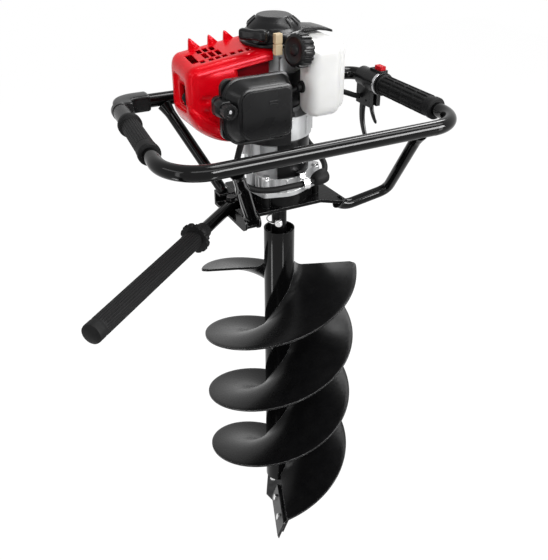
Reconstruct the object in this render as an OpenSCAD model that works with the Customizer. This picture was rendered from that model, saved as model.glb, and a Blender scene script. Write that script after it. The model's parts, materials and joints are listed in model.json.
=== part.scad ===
/* [Bit] */
// Length of the bit, from its open rim down to its point
bit_len = 750; // [720:1:800]
// Outer diameter of the flights
flight_d = 300; // [240:5:320]
// Rise of one flight over a full turn (two flights share it)
flight_pitch = 296; // [260:2:310]
// Turns of each flight
flight_turns = 1.75; // [1.5:0.05:1.8]
// Thickness of the flight plate, measured upright
flight_thick = 5; // [4:0.5:7]
// Distance from the rim down to the top ends of the flights
flight_drop = 83; // [60:1:100]
// Extra drop of the flights over their last quarter turn
flight_dip = 24; // [0:1:30]
// Heading of the first flight's top end, in degrees
flight_phase = 159; // [100:1:200]
// Outer diameter of the core tube
tube_d = 58; // [54:1:62]
// Wall of the core tube
tube_wall = 3; // [2:0.5:4]
// Height of the core tube's lower end above the point
tube_end = 119; // [110:1:130]
// Slope of the blades below the horizontal, in degrees
blade_slope = 72; // [60:1:76]
// Length of the cutting blades along the radius
blade_len = 112; // [80:1:114]
// Thickness of the cutting blades
blade_thick = 6; // [4:0.5:8]
// Width of the pilot point
pilot_w = 60; // [50:1:60]
// Thickness of the pilot point
pilot_thick = 8; // [6:0.5:9]

/* [Coupling] */
// Diameter of the output shaft
shaft_d = 20; // [18:0.5:22]
// Outer diameter of the socket that takes the shaft
socket_d = 28; // [26:0.5:32]
// Height of the socket above the rim
socket_rise = 42; // [38:1:44]
// Diameter of the cross pin
pin_d = 8; // [6:0.5:9]
// Height of the cross pin above the rim
pin_rise = 18; // [14:1:22]
// Diameter of the pin's spring wire
wire_d = 3; // [2:0.5:4]

/* [Frame] */
// Width of the handle loop between tube centres
loop_w = 526; // [500:2:560]
// Depth of the handle loop between tube centres, on its right
loop_d = 346; // [340:2:360]
// Lean of the left bar towards the engine, in degrees
loop_lean = 6; // [0:0.5:7]
// How much further back the rear bar stands at its left end
loop_skew = 14; // [0:1:20]
// Bend radius of the loop's two front corners
loop_r = 65; // [55:1:66]
// Bend radius of the loop's right rear corner
loop_rear_r = 29; // [25:1:29]
// Diameter of the loop tube
loop_tube = 25; // [22:0.5:27]
// Height of the loop above the bit's rim
loop_rise = 216; // [205:1:225]
// Diameter of the struts
strut_d = 20; // [16:1:22]
// Height of the base plate's top above the bit's rim
plate_rise = 62; // [58:1:70]
// Thickness of the base plate
plate_thick = 6; // [4:0.5:8]
// Diameter of the support handle's tube
arm_d = 20; // [18:0.5:22]
// Length of the support handle from its pivot to its end cap
arm_len = 448; // [420:1:480]
// Diameter of the support handle's grip
arm_grip_d = 31; // [29:0.5:34]
// Length of the support handle's grip
arm_grip_len = 290; // [250:1:300]

/* [Controls] */
// Diameter of the hand grips
grip_d = 34; // [32:0.5:38]
// Length of the right grip
grip_right_len = 165; // [150:1:165]
// Length of the left grip
grip_left_len = 186; // [160:1:190]
// Length of the throttle lever below its pin
lever_len = 84; // [70:1:86]
// Diameter of the lever pins
lever_pin_d = 5; // [4:0.5:6]

/* [Engine] */
// Distance of the crank axis behind the bit's axis
crank_y = 20; // [18:0.5:24]
// Height of the gearbox, from the plate up to the clutch
gearbox_h = 68; // [66:1:72]
// Height of the clutch housing
clutch_h = 55; // [52:1:60]
// Height of the fan housing
fan_h = 40; // [36:1:44]
// Radius of the fan housing
fan_r = 66; // [62:0.5:67]
// Height of the crankcase
case_h = 117; // [112:1:120]
// Radius of the starter's flange
starter_r = 56; // [52:0.5:58]
// Height of the starter, flange and dome
starter_h = 40; // [38:1:44]
// Spacing of the cooling fins
fin_pitch = 6; // [5:0.5:8]
// Wall of the red shroud
shroud_wall = 2.5; // [2:0.25:3]
// Wall of the air filter's cover
cover_wall = 2.5; // [2:0.25:3]
// Diameter of the fuel cap
cap_d = 51; // [46:0.5:54]
// Diameter of the throttle cable's sheath
cable_d = 11; // [8:0.5:11]

/* [Gears] */
// Module of the first pair
mod_a = 1; // [1:0.05:1.02]
// Module of the second pair
mod_b = 1.5; // [1.5:0.01:1.52]
// Teeth on both pinions
pinion_teeth = 10; // [10:1:11]
// Teeth on the countershaft's wheel
wheel_teeth = 62; // [60:1:63]
// Teeth on the output gear
output_teeth = 44; // [43:1:45]
// Play between the flanks of meshing teeth
backlash = 0.2; // [0.1:0.02:0.3]

/* [Fits] */
// Gap between pieces that are welded, glued or bolted side by side
seat = 0.3; // [0.2:0.05:0.5]
// Radial gap of a running fit
run = 0.05; // [0.03:0.01:0.1]

/* [Hidden] */
$fn = 48;
round_fn = 24;
pressure = 25;
rim_z = bit_len;
plate_z = rim_z + plate_rise;
loop_z = rim_z + loop_rise;
flight_z = rim_z - flight_drop;
flight_end_z = flight_z - flight_turns * flight_pitch - flight_dip;
flight_end_a = flight_phase - 360 * flight_turns;
flight_in = tube_d / 2 + seat;
blade_in = tube_d / 2 + 7;
holder_w = 40;
holder_thick = 5;
blade_top = 10;
blade_w = 48;
blade_bolt_w = 26;
blade_bolts_r = [blade_in + 26, blade_in + 82];
pilot_a = -28;
pilot_bolt_x = 14;
pilot_bolt_z = tube_end - 16;
pin_a = -120;
pin_z = rim_z + pin_rise;
gearbox_split = plate_z + 30;
gearbox_top = plate_z + gearbox_h;
clutch_top = gearbox_top + clutch_h;
fan_top = clutch_top + fan_h;
case_top = fan_top + case_h;
starter_top = case_top + starter_h;
cyl_z = fan_top + 40;
crank = [0, crank_y];
centre_a = mod_a * (pinion_teeth + wheel_teeth) / 2;
centre_b = mod_b * (pinion_teeth + output_teeth) / 2;
lay_y = (centre_b ^ 2 - centre_a ^ 2 + crank_y ^ 2) / (2 * crank_y);
lay = [sqrt(centre_b ^ 2 - lay_y ^ 2), lay_y];
out_gear_z = plate_z + 15;
wheel_z = gearbox_split + 5;
gear_face = 12;
skirt_h = 24;
lay_d = 10;
drum_shaft_d = 8;
bearing_od = 42;
bearing_z = plate_z + 4;
bearing_h = 10;
loop_x = loop_w / 2;
front_y = -176;
rear_y = front_y + loop_d;
left_front = [-loop_x - 7, front_y];
right_front = [loop_x, front_y];
right_rear = [loop_x, rear_y];
left_rear = [left_front[0] + (rear_y + loop_skew - front_y) * tan(loop_lean), rear_y + loop_skew];
left_dir = (left_rear - left_front) / norm(left_rear - left_front);
rear_dir = (right_rear - left_rear) / norm(right_rear - left_rear);
strut_top = 148;
strut_foot = [74, 88];
elbow_arm = 70;
elbow_r = 44;
plug_in = 24;
bend_lap = 2;
bend_swell = 0.4;
arm_pivot = [-81, 34];
arm_z = plate_z - 12;
arm_a = -140;
channel_x = -64;
channel_w = 31;
channel_wall = 4;
control_y = rear_y - 104;
control_len = 74;
lever_y = control_y + 62;
lever_z = loop_z - 40;
lock_y = control_y + 38;
shroud_y = crank_y;
shroud_half = 45;
roof_rise = 8;
cover_back = -71;
cover_front = -104;
filter_x = [-138, -23];
filter_z = [fan_top - 10, fan_top + 88];
knob_x = -137;
knob_front = 18;
knob_z = fan_top + 48;
tank_x = [20, 102];
tank_y = [-84, 78];
tank_z = [fan_top + 6, case_top + 4];
cap_pos = [11, -66, case_top - 1];
grommet = [tank_x[0], -54, cyl_z + 14];
cap_a = -168;
cap_tilt = 8;
pull_a = 222;
pull_z = case_top + 16;
case_bolts = [[-41, -28], [-50, 14], lay + 44 * [cos(45), -sin(45)], lay + 44 * [cos(40), sin(40)]];
shroud_corners = [[-153, case_top - 35], [-34, case_top - 19], [-34, cyl_z - 56], [-90, cyl_z - 60],
    [-126, cyl_z - 49], [-155, cyl_z - 20]];
hose_path = [grommet + [-8.6, 0, 0], grommet + [-16, 1, -2], [-14, -50, cyl_z + 4], [-32, -47, cyl_z - 6],
    [-50, -46, cyl_z - 16], [-72.7, -47, cyl_z - 22]];
cable_path = [[loop_x - 16, lever_y - 2, loop_z - 36], [loop_x - 23, lever_y + 2, loop_z - 35],
    [loop_x - 35, rear_y - 32, loop_z - 31], [212, rear_y - 25, loop_z - 26], [186, rear_y - 20, loop_z - 22],
    [152, rear_y - 24, loop_z - 24], [120, strut_y(922) - 18.7, 922], [106, strut_y(896) - 31.3, 896], [98, 70, 880], [94, 26, 873],
    [84, -18, 866], [60, -50, 862], [28, -62, 860], [-8, -64, 860], [-44, -60, 859], [-74, -50, 862], [-94, -40, 876],
    [-101, -38, 904], [-96, -42, 936], [-88, -46, 962], [-86, -47, 980.6]];

// A round bar from one point to another
module rod(a, b, d) {
    v = b - a;
    translate(a) rotate([0, acos(v[2] / norm(v)), atan2(v[1], v[0])]) cylinder(d = d, h = norm(v));
}

// Outline round two circles, joined by straight sides just inside their outer tangents
module belt(a, ra, b, rb) {
    t = atan2(b[1] - a[1], b[0] - a[0]);
    k = acos((ra - rb) / norm(b - a));
    ia = ra - 0.4;
    ib = rb - 0.4;
    translate(a) circle(r = ra);
    translate(b) circle(r = rb);
    polygon([a + ia * [cos(t + k), sin(t + k)], b + ib * [cos(t + k), sin(t + k)],
        b + ib * [cos(t - k), sin(t - k)], a + ia * [cos(t - k), sin(t - k)]]);
}

// Rectangle with round corners, centred
module round_rect(w, h, r) {
    square([w - 2 * r, h], center = true);
    square([w, h - 2 * r], center = true);
    for (x = [-1, 1], y = [-1, 1]) translate([x * (w / 2 - r), y * (h / 2 - r)]) circle(r = r);
}

// Box with round edges between two corners, as one smooth shell
module pillow(lo, hi, r) {
    hull() for (x = [lo[0] + r, hi[0] - r], y = [lo[1] + r, hi[1] - r], z = [lo[2] + r, hi[2] - r])
        translate([x, y, z]) sphere(r = r, $fn = round_fn);
}

// Box with round edges between two corners, as the common part of three prisms
module soft_box(lo, hi, r) {
    w = hi - lo;
    translate((lo + hi) / 2) intersection() {
        linear_extrude(w[2], center = true) round_rect(w[0], w[1], r);
        rotate([90, 0, 0]) linear_extrude(w[1], center = true) round_rect(w[0], w[2], r);
        rotate([90, 0, 90]) linear_extrude(w[0], center = true) round_rect(w[1], w[2], r);
    }
}

// Tube swept along a list of points, with a ring of sides at each point
module sweep(path, d, sides) {
    n = len(path);
    dirs = [for (i = [0 : n - 1]) let (v = path[min(i + 1, n - 1)] - path[max(i - 1, 0)]) v / norm(v)];
    ref = [0.31, 0.17, 1];
    rings = [for (i = [0 : n - 1]) let (
        u = cross(dirs[i], ref) / norm(cross(dirs[i], ref)),
        w = cross(dirs[i], u))
        for (k = [0 : sides - 1]) path[i] + d / 2 * (cos(360 * k / sides) * u + sin(360 * k / sides) * w)];
    walls = [for (i = [0 : n - 2], k = [0 : sides - 1]) let (
        a = i * sides + k, b = i * sides + (k + 1) % sides)
        each [[a, b, b + sides], [a, b + sides, a + sides]]];
    caps = [[for (k = [sides - 1 : -1 : 0]) k], [for (k = [0 : sides - 1]) (n - 1) * sides + k]];
    polyhedron(rings, concat(walls, caps), convexity = 6);
}

// Points along a smooth curve through hand-chosen points
function curve(p, steps) = [for (i = [0 : len(p) - 2], s = [0 : steps - 1]) let (
    t = s / steps, a = p[max(i - 1, 0)], b = p[i], c = p[i + 1], d = p[min(i + 2, len(p) - 1)])
    0.5 * (2 * b + (c - a) * t + (2 * a - 5 * b + 4 * c - d) * t ^ 2 + (3 * b - a - 3 * c + d) * t ^ 3),
    p[len(p) - 1]];

// Involute spur gear outline with short teeth, one tooth centred on +X
function inv(a) = tan(a) * 180 / PI - a;
function half_tooth(z, m, r) = let (rp = z * m / 2, rb = rp * cos(pressure))
    (90 - backlash / 4 / rp * 180 / PI * z) / z + inv(pressure) - inv(acos(min(1, rb / max(r, rb))));
module gear_outline(z, m) {
    rp = z * m / 2;
    rb = rp * cos(pressure);
    root = rp - m;
    tip = rp + 0.8 * m;
    low = max(root, rb);
    flank = concat(root < rb ? [root] : [], [for (k = [0 : 3]) low + (tip - low) * k / 3]);
    polygon([for (i = [0 : z - 1]) each concat(
        [for (r = flank) r * [cos(360 * i / z - half_tooth(z, m, r)), sin(360 * i / z - half_tooth(z, m, r))]],
        [for (k = [len(flank) - 1 : -1 : 0]) let (r = flank[k], h = half_tooth(z, m, r))
            r * [cos(360 * i / z + h), sin(360 * i / z + h)]])]);
}

// Hexagon bolt standing on z = 0, with its shank below
module hex_bolt(d, shank) {
    cylinder(d = d * 1.8, h = d * 0.6, $fn = 6);
    translate([0, 0, -shank]) cylinder(d = d, h = shank + 0.1);
}

// Helicoid plate between two radii, falling clockwise from its top end
module helicoid(top_a) {
    n = 84;
    pts = [for (i = [0 : n]) let (
        turn = flight_turns * i / n, last = max(0, 1 - 3.4 * (flight_turns - turn)),
        a = top_a - 360 * turn, z = flight_z - flight_pitch * turn - flight_dip * last ^ 2)
        for (c = [[flight_in, 0], [flight_d / 2, 0], [flight_d / 2, -1], [flight_in, -1]])
            [c[0] * cos(a), c[0] * sin(a), z + c[1] * flight_thick]];
    walls = [for (i = [0 : n - 1], k = [0 : 3]) let (a = i * 4 + k, b = i * 4 + (k + 1) % 4)
        each [[a, b, b + 4], [a, b + 4, a + 4]]];
    polyhedron(pts, concat(walls, [[3, 2, 1, 0], [4 * n, 4 * n + 1, 4 * n + 2, 4 * n + 3]]), convexity = 10);
}

module bit_tube() {
    color("#141414") {
        translate([0, 0, tube_end]) difference() {
            cylinder(d = tube_d, h = rim_z - tube_end);
            translate([0, 0, 6]) cylinder(d = tube_d - 2 * tube_wall, h = rim_z);
        }
        // Cheek plate that the pilot point is bolted to
        rotate([0, 0, pilot_a]) difference() {
            translate([-23, pilot_thick / 2, tube_end - 30]) cube([46, 6, 30.1]);
            for (x = [-1, 1]) translate([x * pilot_bolt_x, 0, pilot_bolt_z]) rotate([-90, 0, 0])
                cylinder(d = 8 + 2 * seat, h = 30);
        }
    }
}

// Socket sleeve on two discs inside the tube's mouth
module bit_socket() {
    color("#1b1b1b") difference() {
        union() {
            translate([0, 0, rim_z - 60]) cylinder(d = socket_d, h = 60 + socket_rise);
            for (z = [rim_z - 56, rim_z - 16])
                translate([0, 0, z]) cylinder(d = tube_d - 2 * tube_wall - 2 * run, h = 6);
        }
        translate([0, 0, rim_z - 61]) cylinder(d = shaft_d + 2 * run, h = 62 + socket_rise);
        rotate([0, 0, pin_a]) translate([-30, 0, pin_z]) rotate([0, 90, 0]) cylinder(d = pin_d + 2 * run, h = 60);
    }
}

module flight_a() { color("#161616") helicoid(flight_phase); }
module flight_b() { color("#161616") helicoid(flight_phase + 180); }

// Local frame of a blade: +X along the radius, -Y down the slope, +Z off its face
module at_blades() {
    for (a = [0, 180]) rotate([0, 0, flight_end_a + a]) translate([0, 0, flight_end_z - flight_thick / 2])
        rotate([blade_slope, 0, 0]) children();
}

module blade_holders() {
    color("#1b1b1b") at_blades() difference() {
        translate([blade_in, -holder_w, -holder_thick]) cube([blade_len - 2, holder_w - 3, holder_thick]);
        for (r = blade_bolts_r) translate([r, -blade_bolt_w, -30]) cylinder(d = 8 + 2 * seat, h = 60);
    }
}

module cutting_blades() {
    color("#6d6e70") at_blades() difference() {
        translate([blade_in + 2, 0, 0]) rotate([90, 0, 90]) linear_extrude(blade_len) polygon([[-blade_top, 0],
            [-blade_top, blade_thick], [8 - blade_top - blade_w, blade_thick], [-blade_top - blade_w, 0]]);
        for (r = blade_bolts_r) translate([r, -blade_bolt_w, -30]) cylinder(d = 8 + 2 * seat, h = 60);
    }
}

module blade_bolts() {
    color("#b9bbbd") at_blades() for (r = blade_bolts_r) translate([r, -blade_bolt_w, blade_thick]) {
        hex_bolt(8, blade_thick + holder_thick + 9);
        translate([0, 0, -blade_thick - holder_thick - 6]) cylinder(d = 14, h = 6, $fn = 6);
    }
}

// Flat pilot point: straight cheeks, then two cutting edges that meet in the tip
module pilot_point() {
    color("#4b4c4e") rotate([0, 0, pilot_a]) difference() {
        translate([0, pilot_thick / 2, 0]) rotate([90, 0, 0]) linear_extrude(pilot_thick) polygon([
            [0, 0], [9, 16], [pilot_w / 2, 46], [pilot_w / 2 - 4, tube_end - 10], [pilot_w / 2 - 12, tube_end],
            [12 - pilot_w / 2, tube_end], [4 - pilot_w / 2, tube_end - 10], [-pilot_w / 2, 46], [-9, 16]]);
        for (x = [-1, 1]) translate([x * pilot_bolt_x, 0, pilot_bolt_z]) rotate([-90, 0, 0])
            cylinder(d = 8 + 2 * seat, h = 60, center = true);
    }
}

module pilot_bolts() {
    color("#b9bbbd") rotate([0, 0, pilot_a]) for (x = [-1, 1])
        translate([x * pilot_bolt_x, -pilot_thick / 2, pilot_bolt_z]) rotate([90, 0, 0]) {
            hex_bolt(8, pilot_thick + 14);
            translate([0, 0, -pilot_thick - 12]) cylinder(d = 14, h = 6, $fn = 6);
        }
}

module cross_pin() {
    color("#c9cacc") rotate([0, 0, pin_a]) translate([0, 0, pin_z]) rotate([0, 90, 0]) {
        translate([0, 0, -24]) cylinder(d = pin_d, h = 48);
        translate([0, 0, socket_d / 2 + 1]) cylinder(d = pin_d * 1.7, h = 8);
    }
}

// Spring wire that runs round the socket from the pin's head to its tail
module pin_wire() {
    gap_a = asin((pin_d * 1.7 / 2 + seat) / (23 - wire_d / 2));
    color("#9b9da0") translate([0, 0, pin_z]) rotate([0, 0, pin_a + 180 + gap_a])
        rotate_extrude(angle = 180 - 2 * gap_a) translate([23, 0]) circle(d = wire_d);
}

module output_shaft() {
    color("#8d8f92") difference() {
        union() {
            translate([0, 0, rim_z - 20]) cylinder(d = shaft_d, h = gearbox_split - rim_z + 18);
            translate([0, 0, out_gear_z - 1]) cylinder(d = shaft_d + 8, h = 1);
        }
        rotate([0, 0, pin_a]) translate([-30, 0, pin_z]) rotate([0, 90, 0]) cylinder(d = pin_d + 2 * run, h = 60);
    }
}

module output_gear() {
    a = atan2(-lay[1], -lay[0]);
    color("#77797c") difference() {
        translate([0, 0, out_gear_z]) rotate([0, 0, a + 180 + 180 / output_teeth])
            linear_extrude(gear_face) gear_outline(output_teeth, mod_b);
        translate([0, 0, out_gear_z - 1]) cylinder(d = shaft_d + 2 * run, h = gear_face + 2);
    }
}

module output_bearing() {
    color("#a8aaad") translate([0, 0, bearing_z]) difference() {
        cylinder(d = bearing_od - 2 * run, h = bearing_h);
        translate([0, 0, -1]) cylinder(d = shaft_d + 2 * run, h = bearing_h + 2);
        for (z = [-1, bearing_h - 1]) translate([0, 0, z]) difference() {
            cylinder(d = bearing_od - 8, h = 2);
            translate([0, 0, -1]) cylinder(d = shaft_d + 8, h = 4);
        }
    }
}

// Countershaft with the wheel above and the small pinion below, in one piece
module countershaft() {
    to_crank = atan2(crank[1] - lay[1], crank[0] - lay[0]);
    to_out = atan2(-lay[1], -lay[0]);
    color("#808285") translate(lay) {
        translate([0, 0, plate_z + 3]) cylinder(d = lay_d, h = gearbox_h - 11);
        translate([0, 0, out_gear_z - 0.5]) rotate([0, 0, to_out])
            linear_extrude(gear_face + 1) gear_outline(pinion_teeth, mod_b);
        difference() {
            translate([0, 0, wheel_z]) rotate([0, 0, to_crank + 180 / wheel_teeth])
                linear_extrude(gear_face - 2) gear_outline(wheel_teeth, mod_a);
            for (k = [0 : 5]) rotate([0, 0, 60 * k]) translate([18, 0, wheel_z - 1]) cylinder(d = 11, h = gear_face);
        }
    }
}

// Clutch bell with its shaft, cut at the lower end into the input pinion
module clutch_drum() {
    a = atan2(lay[1] - crank[1], lay[0] - crank[0]);
    color("#6a6c6f") translate(crank) {
        translate([0, 0, wheel_z - 0.5]) rotate([0, 0, a]) linear_extrude(gear_face - 1) gear_outline(pinion_teeth, mod_a);
        translate([0, 0, wheel_z + gear_face - 2]) cylinder(d = drum_shaft_d, h = gearbox_top - wheel_z - gear_face + 10);
        translate([0, 0, gearbox_top + 8]) difference() {
            cylinder(r = 38, h = 28);
            translate([0, 0, 3]) cylinder(r = 35, h = 30);
            for (k = [0 : 5]) rotate([0, 0, 60 * k + 30]) translate([22, 0, -1]) cylinder(d = 9, h = 5);
        }
    }
}

// Two clutch shoes, bolted to the underside of the flywheel by their posts
module clutch_shoes() {
    color("#7d7f82") translate(crank) for (k = [0, 180]) rotate([0, 0, k]) {
        translate([0, 0, gearbox_top + 13]) intersection() {
            difference() {
                cylinder(r = 33.5, h = 18);
                translate([0, 0, -1]) cylinder(r = 12, h = 20);
            }
            translate([-30, 3, -1]) cube([60, 40, 20]);
        }
        translate([0, 22, gearbox_top + 30.9]) cylinder(d = 10, h = clutch_top - gearbox_top - 20);
    }
}

// Flywheel with curved fan vanes and the crank's lower stub
module flywheel_fan() {
    color("#8b8d90") translate(crank) {
        difference() {
            translate([0, 0, clutch_top + 4]) cylinder(r = fan_r - 14, h = 10);
            for (k = [0, 180]) rotate([0, 0, k]) translate([0, 22, clutch_top]) cylinder(d = 10 + 2 * seat, h = 12);
        }
        translate([0, 0, clutch_top + 4]) cylinder(d = 14, h = fan_h + 10);
        for (k = [0 : 15]) rotate([0, 0, 22.5 * k]) translate([24, -1.5, clutch_top + 13.9])
            rotate([0, 0, 18]) cube([fan_r - 42, 3, 14]);
    }
}

// Lower gear case with its nose through the base plate
module gearbox_lower() {
    color("#191919") difference() {
        union() {
            translate([0, 0, plate_z]) linear_extrude(gearbox_split - plate_z) belt([0, 0], 46, lay, 41);
            translate([0, 0, plate_z - plate_thick - 8]) cylinder(d = 34, h = plate_thick + 8.1);
            for (p = case_bolts) translate([p[0], p[1], plate_z]) cylinder(d = 16, h = gearbox_split - plate_z);
        }
        translate([0, 0, bearing_z + bearing_h]) linear_extrude(60) belt([0, 0], 40, lay, 35);
        translate([0, 0, bearing_z]) cylinder(d = bearing_od, h = 40);
        translate([0, 0, plate_z - 20]) cylinder(d = shaft_d + 2, h = 40);
        translate([lay[0], lay[1], plate_z + 3]) cylinder(d = lay_d + 2 * run, h = 40);
        for (p = case_bolts) translate([p[0], p[1], plate_z - 20]) cylinder(d = 8 + 2 * seat, h = 80);
    }
}

// Upper gear case: skirt, roof and the spigot that the clutch housing sits on
module gearbox_upper() {
    color("#b4b6b8") difference() {
        union() {
            translate([0, 0, gearbox_split]) linear_extrude(skirt_h) belt([0, 0], 46, lay, 41);
            translate([0, 0, gearbox_split]) linear_extrude(gearbox_top - gearbox_split) belt(crank, 40, lay, 26);
            for (p = case_bolts) translate([p[0], p[1], gearbox_split]) cylinder(d = 16, h = skirt_h);
            for (a = [184, 195, 232, 246, 260]) rotate([0, 0, a]) translate([42, -1.5, gearbox_split])
                cube([7, 3, 22]);
        }
        translate([0, 0, gearbox_split - 1]) linear_extrude(20) belt([0, 0], 40, lay, 35);
        translate([crank[0], crank[1], gearbox_split]) cylinder(d = drum_shaft_d + 2 * run, h = 80);
        translate([lay[0], lay[1], gearbox_split]) cylinder(d = lay_d + 2 * run, h = gearbox_h - 36);
        for (p = case_bolts) translate([p[0], p[1], gearbox_split - 20]) cylinder(d = 8 + 2 * seat, h = 80);
    }
}

module gearbox_bolts() {
    stack = skirt_h + gearbox_split - plate_z + plate_thick;
    color("#c4c6c8") for (p = case_bolts) translate([p[0], p[1], gearbox_split + skirt_h]) {
        hex_bolt(8, stack + 9);
        translate([0, 0, -stack - 6]) cylinder(d = 14, h = 6, $fn = 6);
    }
}

// Clutch housing: a ribbed cup that flares out to the fan housing
module clutch_housing() {
    color("#babcbe") translate([crank[0], crank[1], gearbox_top]) difference() {
        union() {
            rotate_extrude() polygon([[0, 0], [44, 0], [47, 3], [47, clutch_h - 16], [60, clutch_h - 6],
                [60, clutch_h], [0, clutch_h]]);
            for (k = [0 : 9]) rotate([0, 0, 36 * k]) translate([45, -2, 6]) rotate([90, 0, 90]) linear_extrude(13)
                polygon([[0, 0], [4, 0], [4, clutch_h - 8], [0, clutch_h - 8]]);
        }
        translate([0, 0, 5]) cylinder(r = 41, h = clutch_h);
        translate([0, 0, -1]) cylinder(d = drum_shaft_d + 2, h = 10);
    }
}

// Fan housing: a shallow drum with ribs, closed on top round the crank
module fan_housing() {
    color("#c0c2c4") translate([crank[0], crank[1], clutch_top]) difference() {
        union() {
            cylinder(r = fan_r, h = fan_h);
            for (k = [0 : 11]) rotate([0, 0, 30 * k]) translate([fan_r - 2, -2, 4]) cube([4, 4, fan_h - 8]);
        }
        translate([0, 0, -1]) cylinder(r = fan_r - 8, h = fan_h - 5);
        translate([0, 0, -1]) cylinder(d = 18, h = fan_h + 2);
        for (k = [0 : 5]) rotate([0, 0, 60 * k + 15]) translate([30, 0, fan_h - 10]) cylinder(d = 16, h = 20);
    }
}

// Crankcase: a round trunk with the cylinder's flange on its left and feet all round
module crankcase() {
    color("#c2c4c6") difference() {
        union() {
            translate([crank[0], crank[1], fan_top]) cylinder(r = 36, h = case_h - 14);
            translate([crank[0], crank[1], case_top - 14]) cylinder(r1 = 36, r2 = 46, h = 10);
            translate([crank[0], crank[1], case_top - 4]) cylinder(r = 46, h = 4);
            translate([crank[0], crank[1], fan_top]) cylinder(r = 46, h = 8);
            translate([-42, crank_y - 32, cyl_z - 32]) cube([30, 64, 64]);
            for (k = [0 : 5]) translate([crank[0], crank[1], fan_top + 8]) rotate([0, 0, 60 * k + 20])
                translate([34, -2, 0]) cube([9, 4, case_h - 30]);
        }
        translate([crank[0], crank[1], fan_top - 1]) cylinder(d = 14 + 2 * run, h = 19);
        translate([crank[0], crank[1], case_top - 12]) cylinder(d = 12 + 2 * run, h = 14);
    }
}

// Air-cooled cylinder on its side, with square fins and a domed head
module cylinder_fin(w, h) {
    rotate([90, 0, 90]) linear_extrude(2) round_rect(w, h, 8);
}
module cylinder_body() {
    color("#adafb1") translate([0, crank_y, cyl_z]) {
        translate([-48, 0, 0]) rotate([90, 0, 90]) linear_extrude(6 - seat / 3) round_rect(58, 58, 6);
        translate([-138, 0, 0]) rotate([0, 90, 0]) cylinder(r = 24, h = 91);
        for (x = [-56 : -fin_pitch : -138]) translate([x, 0, 0]) cylinder_fin(76, x > -110 ? 74 : 68);
        translate([-86, -38, 0]) rotate([-90, 0, 0]) linear_extrude(20) round_rect(36, 28, 4);
        translate([-86, 20, 0]) rotate([-90, 0, 0]) linear_extrude(18) round_rect(40, 30, 4);
    }
}

module spark_plug() {
    color("#d8d4cc") translate([-138.2, crank_y, cyl_z]) rotate([0, -90, 0]) {
        cylinder(d = 17, h = 6, $fn = 6);
        translate([0, 0, 5.9]) cylinder(d = 10, h = 7);
    }
}

// Rubber boot, turned down behind the plug
module plug_cap() {
    color("#151515") translate([-138.2, crank_y, cyl_z]) difference() {
        union() {
            translate([-20, 0, 0]) rotate([0, 90, 0]) cylinder(d = 17, h = 13.5);
            translate([-20, 0, -20]) cylinder(d = 12, h = 22);
            translate([-20, 0, 0]) sphere(d = 18.5);
        }
        translate([-14, 0, 0]) rotate([0, 90, 0]) cylinder(d = 10 + 2 * seat, h = 20);
    }
}

module muffler() {
    color("#2b2b2c") {
        pillow([-130, crank_y + 52, cyl_z - 36], [-46, crank_y + 96, cyl_z + 36], 9);
        translate([-86, crank_y + 38 + seat, cyl_z]) rotate([-90, 0, 0]) linear_extrude(20) round_rect(40, 30, 4);
        translate([-112, crank_y + 74, cyl_z - 44]) cylinder(d = 16, h = 12);
    }
}

module ignition_coil() {
    color("#202022") translate([-18, crank_y - 62, fan_top]) {
        translate([0, 0, seat]) cube([26, 13, 7]);
        translate([3, 1, 7]) cube([20, 11, 16]);
    }
}

// Red shroud over the cylinder: a rounded shell, open towards the crankcase
module shroud_form(r) {
    hull() for (c = shroud_corners, s = [-1, 1])
        translate([c[0], shroud_y + s * (shroud_half - 16), c[1] + (s > 0 && c[1] > cyl_z ? roof_rise : 0)])
            sphere(r = r, $fn = round_fn);
}
module engine_shroud() {
    color("#c8101a") difference() {
        union() {
            shroud_form(16);
            // Guard fins along the rear edge of the roof
            for (k = [0 : 2]) translate([-134 + 34 * k, shroud_y + shroud_half - 9, case_top - 31 + 4 * k])
                rotate([90, 0, 0]) linear_extrude(3) polygon([[-8, 0], [-6, 33], [-2, 35], [24, 0]]);
        }
        shroud_form(16 - shroud_wall);
        translate([-22, -200, cyl_z - 200]) cube([100, 400, 400]);
        translate([crank[0], crank[1], 0]) cylinder(r = 46 + seat, h = 2 * cyl_z);
        // Seats round the fan housing, the clutch housing and the starter
        translate([crank[0], crank[1], 0]) cylinder(r = fan_r + 4, h = fan_top + 1);
        translate([crank[0], crank[1], 0]) cylinder(r = 47 + seat, h = fan_top + 9);
        translate([crank[0], crank[1], case_top - 1]) cylinder(r = starter_r + 1, h = 60);
        // Intake, exhaust and plug openings
        translate([-86, -100, cyl_z]) rotate([-90, 0, 0]) linear_extrude(120) round_rect(44, 38, 6);
        translate([-86, shroud_y, cyl_z]) rotate([-90, 0, 0]) linear_extrude(120) round_rect(50, 40, 6);
        translate([-190, shroud_y, cyl_z + 2]) rotate([90, 0, 90]) linear_extrude(60) round_rect(32, 56, 6);
        translate([-190, shroud_y - 2, cyl_z - 42]) rotate([90, 0, 90]) linear_extrude(40) round_rect(22, 14, 4);
        // Cooling slots in the roof
        for (k = [0 : 8], j = [-1 : 1]) translate([-138 + 11 * k, shroud_y + 19 * j - 6, case_top - 37])
            cube([5, 13, 60]);
    }
}

module intake_block() {
    color("#2a2622") translate([-86, crank_y - 38 - seat, cyl_z]) rotate([90, 0, 0]) linear_extrude(14 - seat)
        round_rect(34, 30, 4);
}

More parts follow.
